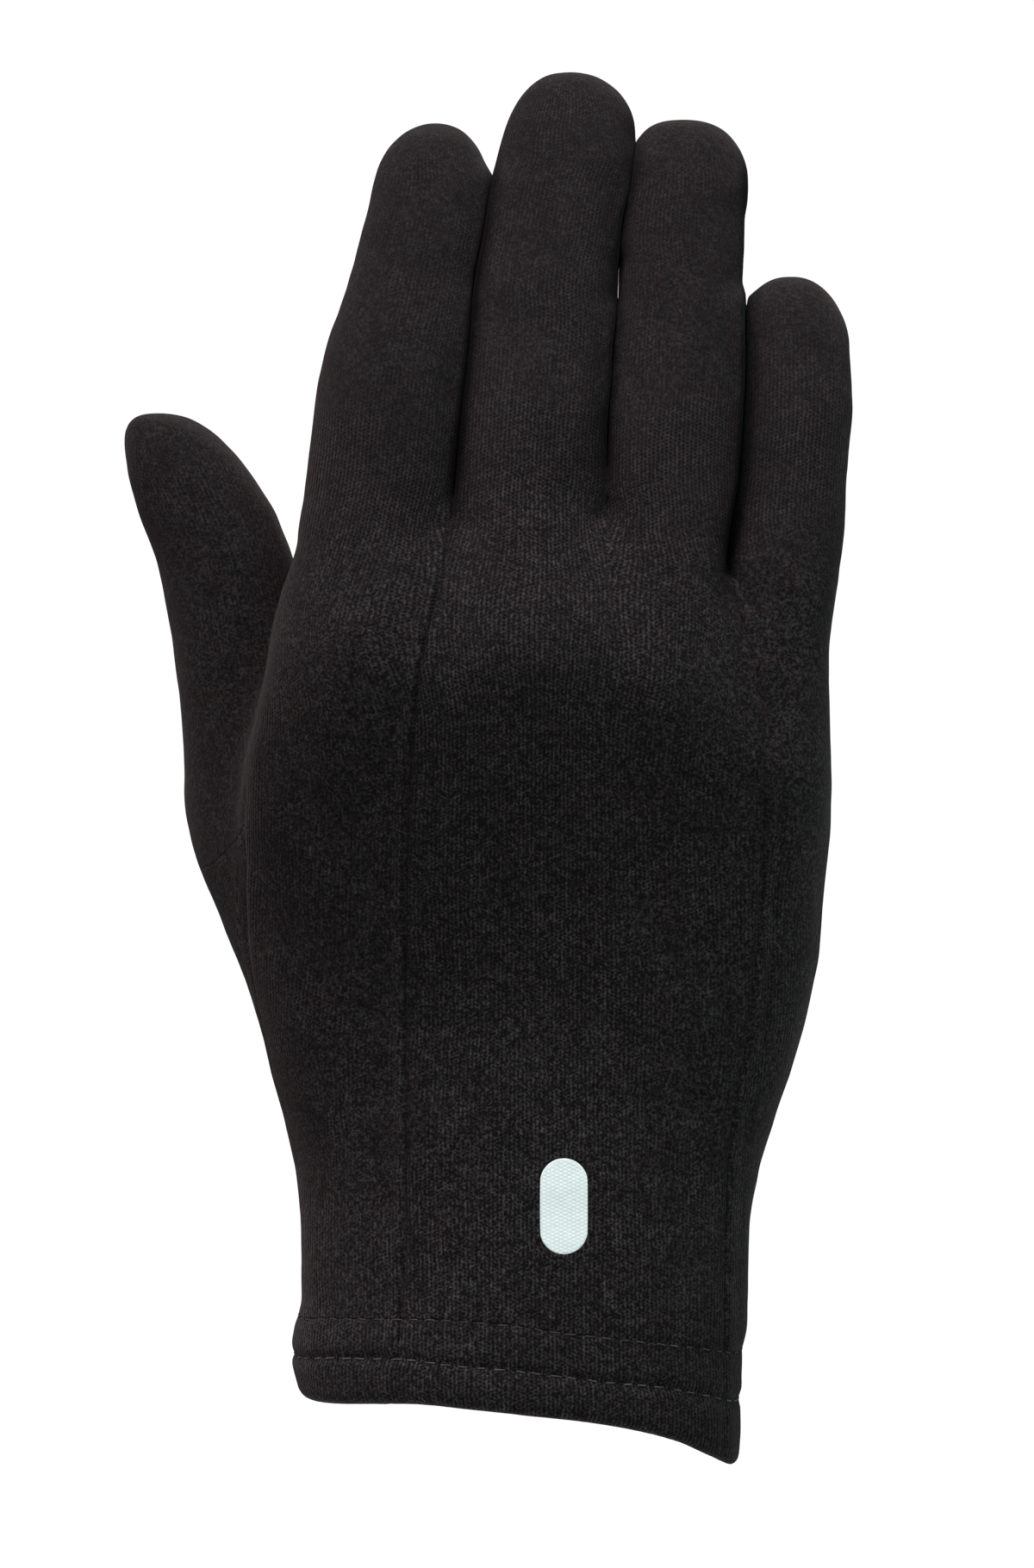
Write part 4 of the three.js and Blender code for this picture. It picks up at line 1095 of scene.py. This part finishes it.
def thread_material(name, dark, pale):
    M = Nodes(name)
    geo = M.add("TexCoord")
    n = M.noise(geo.outputs["Object"], 900.0, 3.0, 0.6)
    p = M.add("BsdfPrincipled")
    M.link(M.mix(M.ramp(n.outputs[0], 0.3, 0.7), (dark, dark * 0.95, dark * 0.96, 1), (pale, pale * 0.96, pale * 0.97, 1)), p.inputs["Base Color"])
    p.inputs["Roughness"].default_value = 0.7
    p.inputs["Specular IOR Level"].default_value = 0.25
    p.inputs["Sheen Weight"].default_value = 0.15
    b = M.add("Bump")
    b.inputs["Strength"].default_value = 0.5
    b.inputs["Distance"].default_value = 0.0002
    M.link(n.outputs[0], b.inputs["Height"])
    M.link(b.outputs[0], p.inputs["Normal"])
    M.link(p.outputs[0], M.out.inputs["Surface"])
    return M.mat


for label, line, seed, size, sunk, dark, pale in (("hem_stitches_upper", HEM_TOP, 11, 0.11, 0.04, 0.025, 0.06), ("hem_stitches_lower", HEM_ROW, 12, 0.125, 0.0, 0.04, 0.095)):
    pts, nrm = ring_points(line)
    V, Q = thread(pts, nrm, 2.85, 2.0, size, sunk, np.random.default_rng(seed))
    ob = mesh_object(label, V * MM, Q)
    ob.data.materials.append(thread_material(label, dark, pale))
    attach(ob, "root")

# ------------------------------------------------------------------------------------------------------------------
# The printed mark: a plain lozenge with round ends, a thin film over the knit
# ------------------------------------------------------------------------------------------------------------------
MARK = dict(x=7.2, z=35.4, width=7.6, height=15.2)


def mark_mesh():
    r, hh = MARK["width"] / 2, MARK["height"] / 2
    rings, around = 26, 120
    t = np.linspace(0, 2 * math.pi, around, endpoint=False)
    ex, ez = np.cos(t), np.sin(t)
    bx, bz = r * ex, r * ez + np.sign(ez) * (hh - r) * np.minimum(1, np.abs(ez) * 6) ** 0.5
    verts, quads = [(0.0, 0.0, 1.0)], []
    levels = list(np.linspace(0.06, 0.985, rings)) + [1.0, 1.004]
    for k in levels:
        top = 1.0 if k < 0.99 else (0.55 if k <= 1.0 else -0.6)
        for i in range(around):
            verts.append((bx[i] * k, bz[i] * k, top))
    for m in range(len(levels) - 1):
        for i in range(around):
            j = (i + 1) % around
            a, b = 1 + m * around, 1 + (m + 1) * around
            quads.append((a + i, a + j, b + j, b + i))
    verts = np.array(verts)
    x, z = MARK["x"] + verts[:, 0], MARK["z"] + verts[:, 1]
    y = surface_y(x, z) - 0.09 * verts[:, 2]
    tri = [(0, 1 + (i + 1) % around, 1 + i, 1 + i) for i in range(around)]
    return np.stack([x, y, z], 1), quads, tri


mv, mq, mt = mark_mesh()
me = bpy.data.meshes.new("printed_film")
me.from_pydata([tuple(v) for v in mv * MM], [], [tuple(q) for q in mq] + [t[:3] for t in mt])
me.polygons.foreach_set("use_smooth", [True] * len(me.polygons))
me.update()
ux, vx = knit_coords("hem", mv[:, 0], mv[:, 1], mv[:, 2])
a = me.attributes.new("knit", "FLOAT_VECTOR", "POINT")
a.data.foreach_set("vector", np.stack([ux, vx, mv[:, 2]], 1).astype(np.float32).ravel())
mark = bpy.data.objects.new("printed_film", me)
scene.collection.objects.link(mark)


def print_material():
    M = Nodes("printed_film")
    at_ = M.add("Attribute", attribute_name="knit")
    sep = M.add("SeparateXYZ")
    M.link(at_.outputs["Vector"], sep.inputs[0])
    geo = M.add("TexCoord")
    obj = geo.outputs["Object"]
    a = M.math("MULTIPLY", sep.outputs[0], 2 * math.pi / WALE)
    b = M.math("MULTIPLY", sep.outputs[1], 2 * math.pi / COURSE)
    lat = M.math("ADD", M.math("COSINE", a), M.math("MULTIPLY", M.math("MULTIPLY", M.math("COSINE", M.math("MULTIPLY", a, 0.5)), M.math("COSINE", b)), 2.0))
    lat = M.math("MULTIPLY", lat, 1 / 3)
    fine = M.noise(obj, 900.0, 3.0, 0.6).outputs[0]
    p = M.add("BsdfPrincipled")
    tone = M.math("ADD", M.math("MULTIPLY", lat, 0.35), M.math("MULTIPLY", fine, 0.9))
    M.link(M.mix(M.ramp(tone, 0.1, 0.7), (0.68, 0.82, 0.80, 1), (0.78, 0.92, 0.90, 1)), p.inputs["Base Color"])
    p.inputs["Roughness"].default_value = 0.6
    p.inputs["Specular IOR Level"].default_value = 0.3
    h = M.math("ADD", M.math("MULTIPLY", lat, 0.035), M.math("MULTIPLY", fine, 0.03))
    bump = M.add("Bump")
    bump.inputs["Strength"].default_value = 0.8
    bump.inputs["Distance"].default_value = 0.001
    M.link(h, bump.inputs["Height"])
    M.link(bump.outputs[0], p.inputs["Normal"])
    M.link(p.outputs[0], M.out.inputs["Surface"])
    return M.mat


mark.data.materials.append(print_material())
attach(mark, "root")
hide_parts("printed_mark")
print("details", round(time.time() - T0, 1), "s")

# ------------------------------------------------------------------------------------------------------------------
# Stage, light and camera
# ------------------------------------------------------------------------------------------------------------------


def stage_material(name, col):
    M = Nodes(name)
    geo = M.add("TexCoord")
    n = M.noise(geo.outputs["Object"], 2.0, 2.0)
    p = M.add("BsdfPrincipled")
    M.link(M.mix(M.ramp(n.outputs[0], 0.2, 0.8), (*[c * 0.995 for c in col], 1), (*col, 1)), p.inputs["Base Color"])
    p.inputs["Roughness"].default_value = 0.9
    p.inputs["Specular IOR Level"].default_value = 0.1
    M.link(p.outputs[0], M.out.inputs["Surface"])
    return M.mat


FLOOR = -0.35
stage = mesh_object("floor", [(-3, -3, FLOOR), (3, -3, FLOOR), (3, 2.4, FLOOR), (-3, 2.4, FLOOR)], [(0, 1, 2, 3)])
stage.data.materials.append(stage_material("pale_floor", (0.9, 0.9, 0.9)))
stage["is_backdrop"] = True

# a white background for the camera, with next to no light of its own
world = bpy.data.worlds.new("white_background")
scene.world = world
world.use_nodes = True
wt = world.node_tree
wt.nodes.clear()
path, white, dim, pick, wout = (wt.nodes.new("ShaderNode" + k) for k in ("LightPath", "Background", "Background", "MixShader", "OutputWorld"))
white.inputs["Color"].default_value = (1, 1, 1, 1)
white.inputs["Strength"].default_value = 1.05
dim.inputs["Color"].default_value = (1, 1, 1, 1)
dim.inputs["Strength"].default_value = 0.02
wt.links.new(path.outputs["Is Camera Ray"], pick.inputs[0])
wt.links.new(dim.outputs[0], pick.inputs[1])
wt.links.new(white.outputs[0], pick.inputs[2])
wt.links.new(pick.outputs[0], wout.inputs["Surface"])


def softbox(name, az, el, dist, size, power, colour, at_=(0, 0, 0.11)):
    """A square soft light, az degrees to the right of the camera's side and el degrees up."""
    d = bpy.data.lights.new(name, "AREA")
    d.shape = "RECTANGLE"
    d.size = d.size_y = size
    d.energy = power
    d.color = colour
    o = bpy.data.objects.new(name, d)
    scene.collection.objects.link(o)
    a, e = math.radians(az), math.radians(el)
    way = Vector((math.sin(a) * math.cos(e), -math.cos(a) * math.cos(e), math.sin(e)))
    o.location = Vector(at_) + way * dist
    o.rotation_mode = "QUATERNION"
    o.rotation_quaternion = (-way).to_track_quat("-Z", "Y")
    return o


softbox("key", -35, 68, 1.4, 0.5, 27.0, (1.0, 0.835, 0.87))
softbox("fill", 35, 45, 1.4, 0.5, 9.5, (0.78, 1.0, 0.96))
softbox("back", 170, 45, 1.6, 0.6, 9.0, (1.0, 0.97, 0.95))

DIST = 1.6
FRAME_H = 1820 / 7.2 * MM
cam_data = bpy.data.cameras.new("camera")
cam_data.sensor_width = 36.0
cam_data.lens = 36.0 * DIST / FRAME_H
cam_data.clip_start, cam_data.clip_end = 0.05, 50
cam = bpy.data.objects.new("camera", cam_data)
scene.collection.objects.link(cam)
cam.location = ((600 - 602) / 7.2 * MM, -DIST, (1650 - 910) / 7.2 * MM)
cam.rotation_euler = (math.pi / 2, 0, 0)
scene.camera = cam
scene.view_settings.view_transform = "Standard"
scene.view_settings.look = "None"

bpy.context.view_layer.update()
now_box = [list(map(float, c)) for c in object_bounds()]
print("scene", round(time.time() - T0, 1), "s", "cad", cad_box, "visual", now_box)
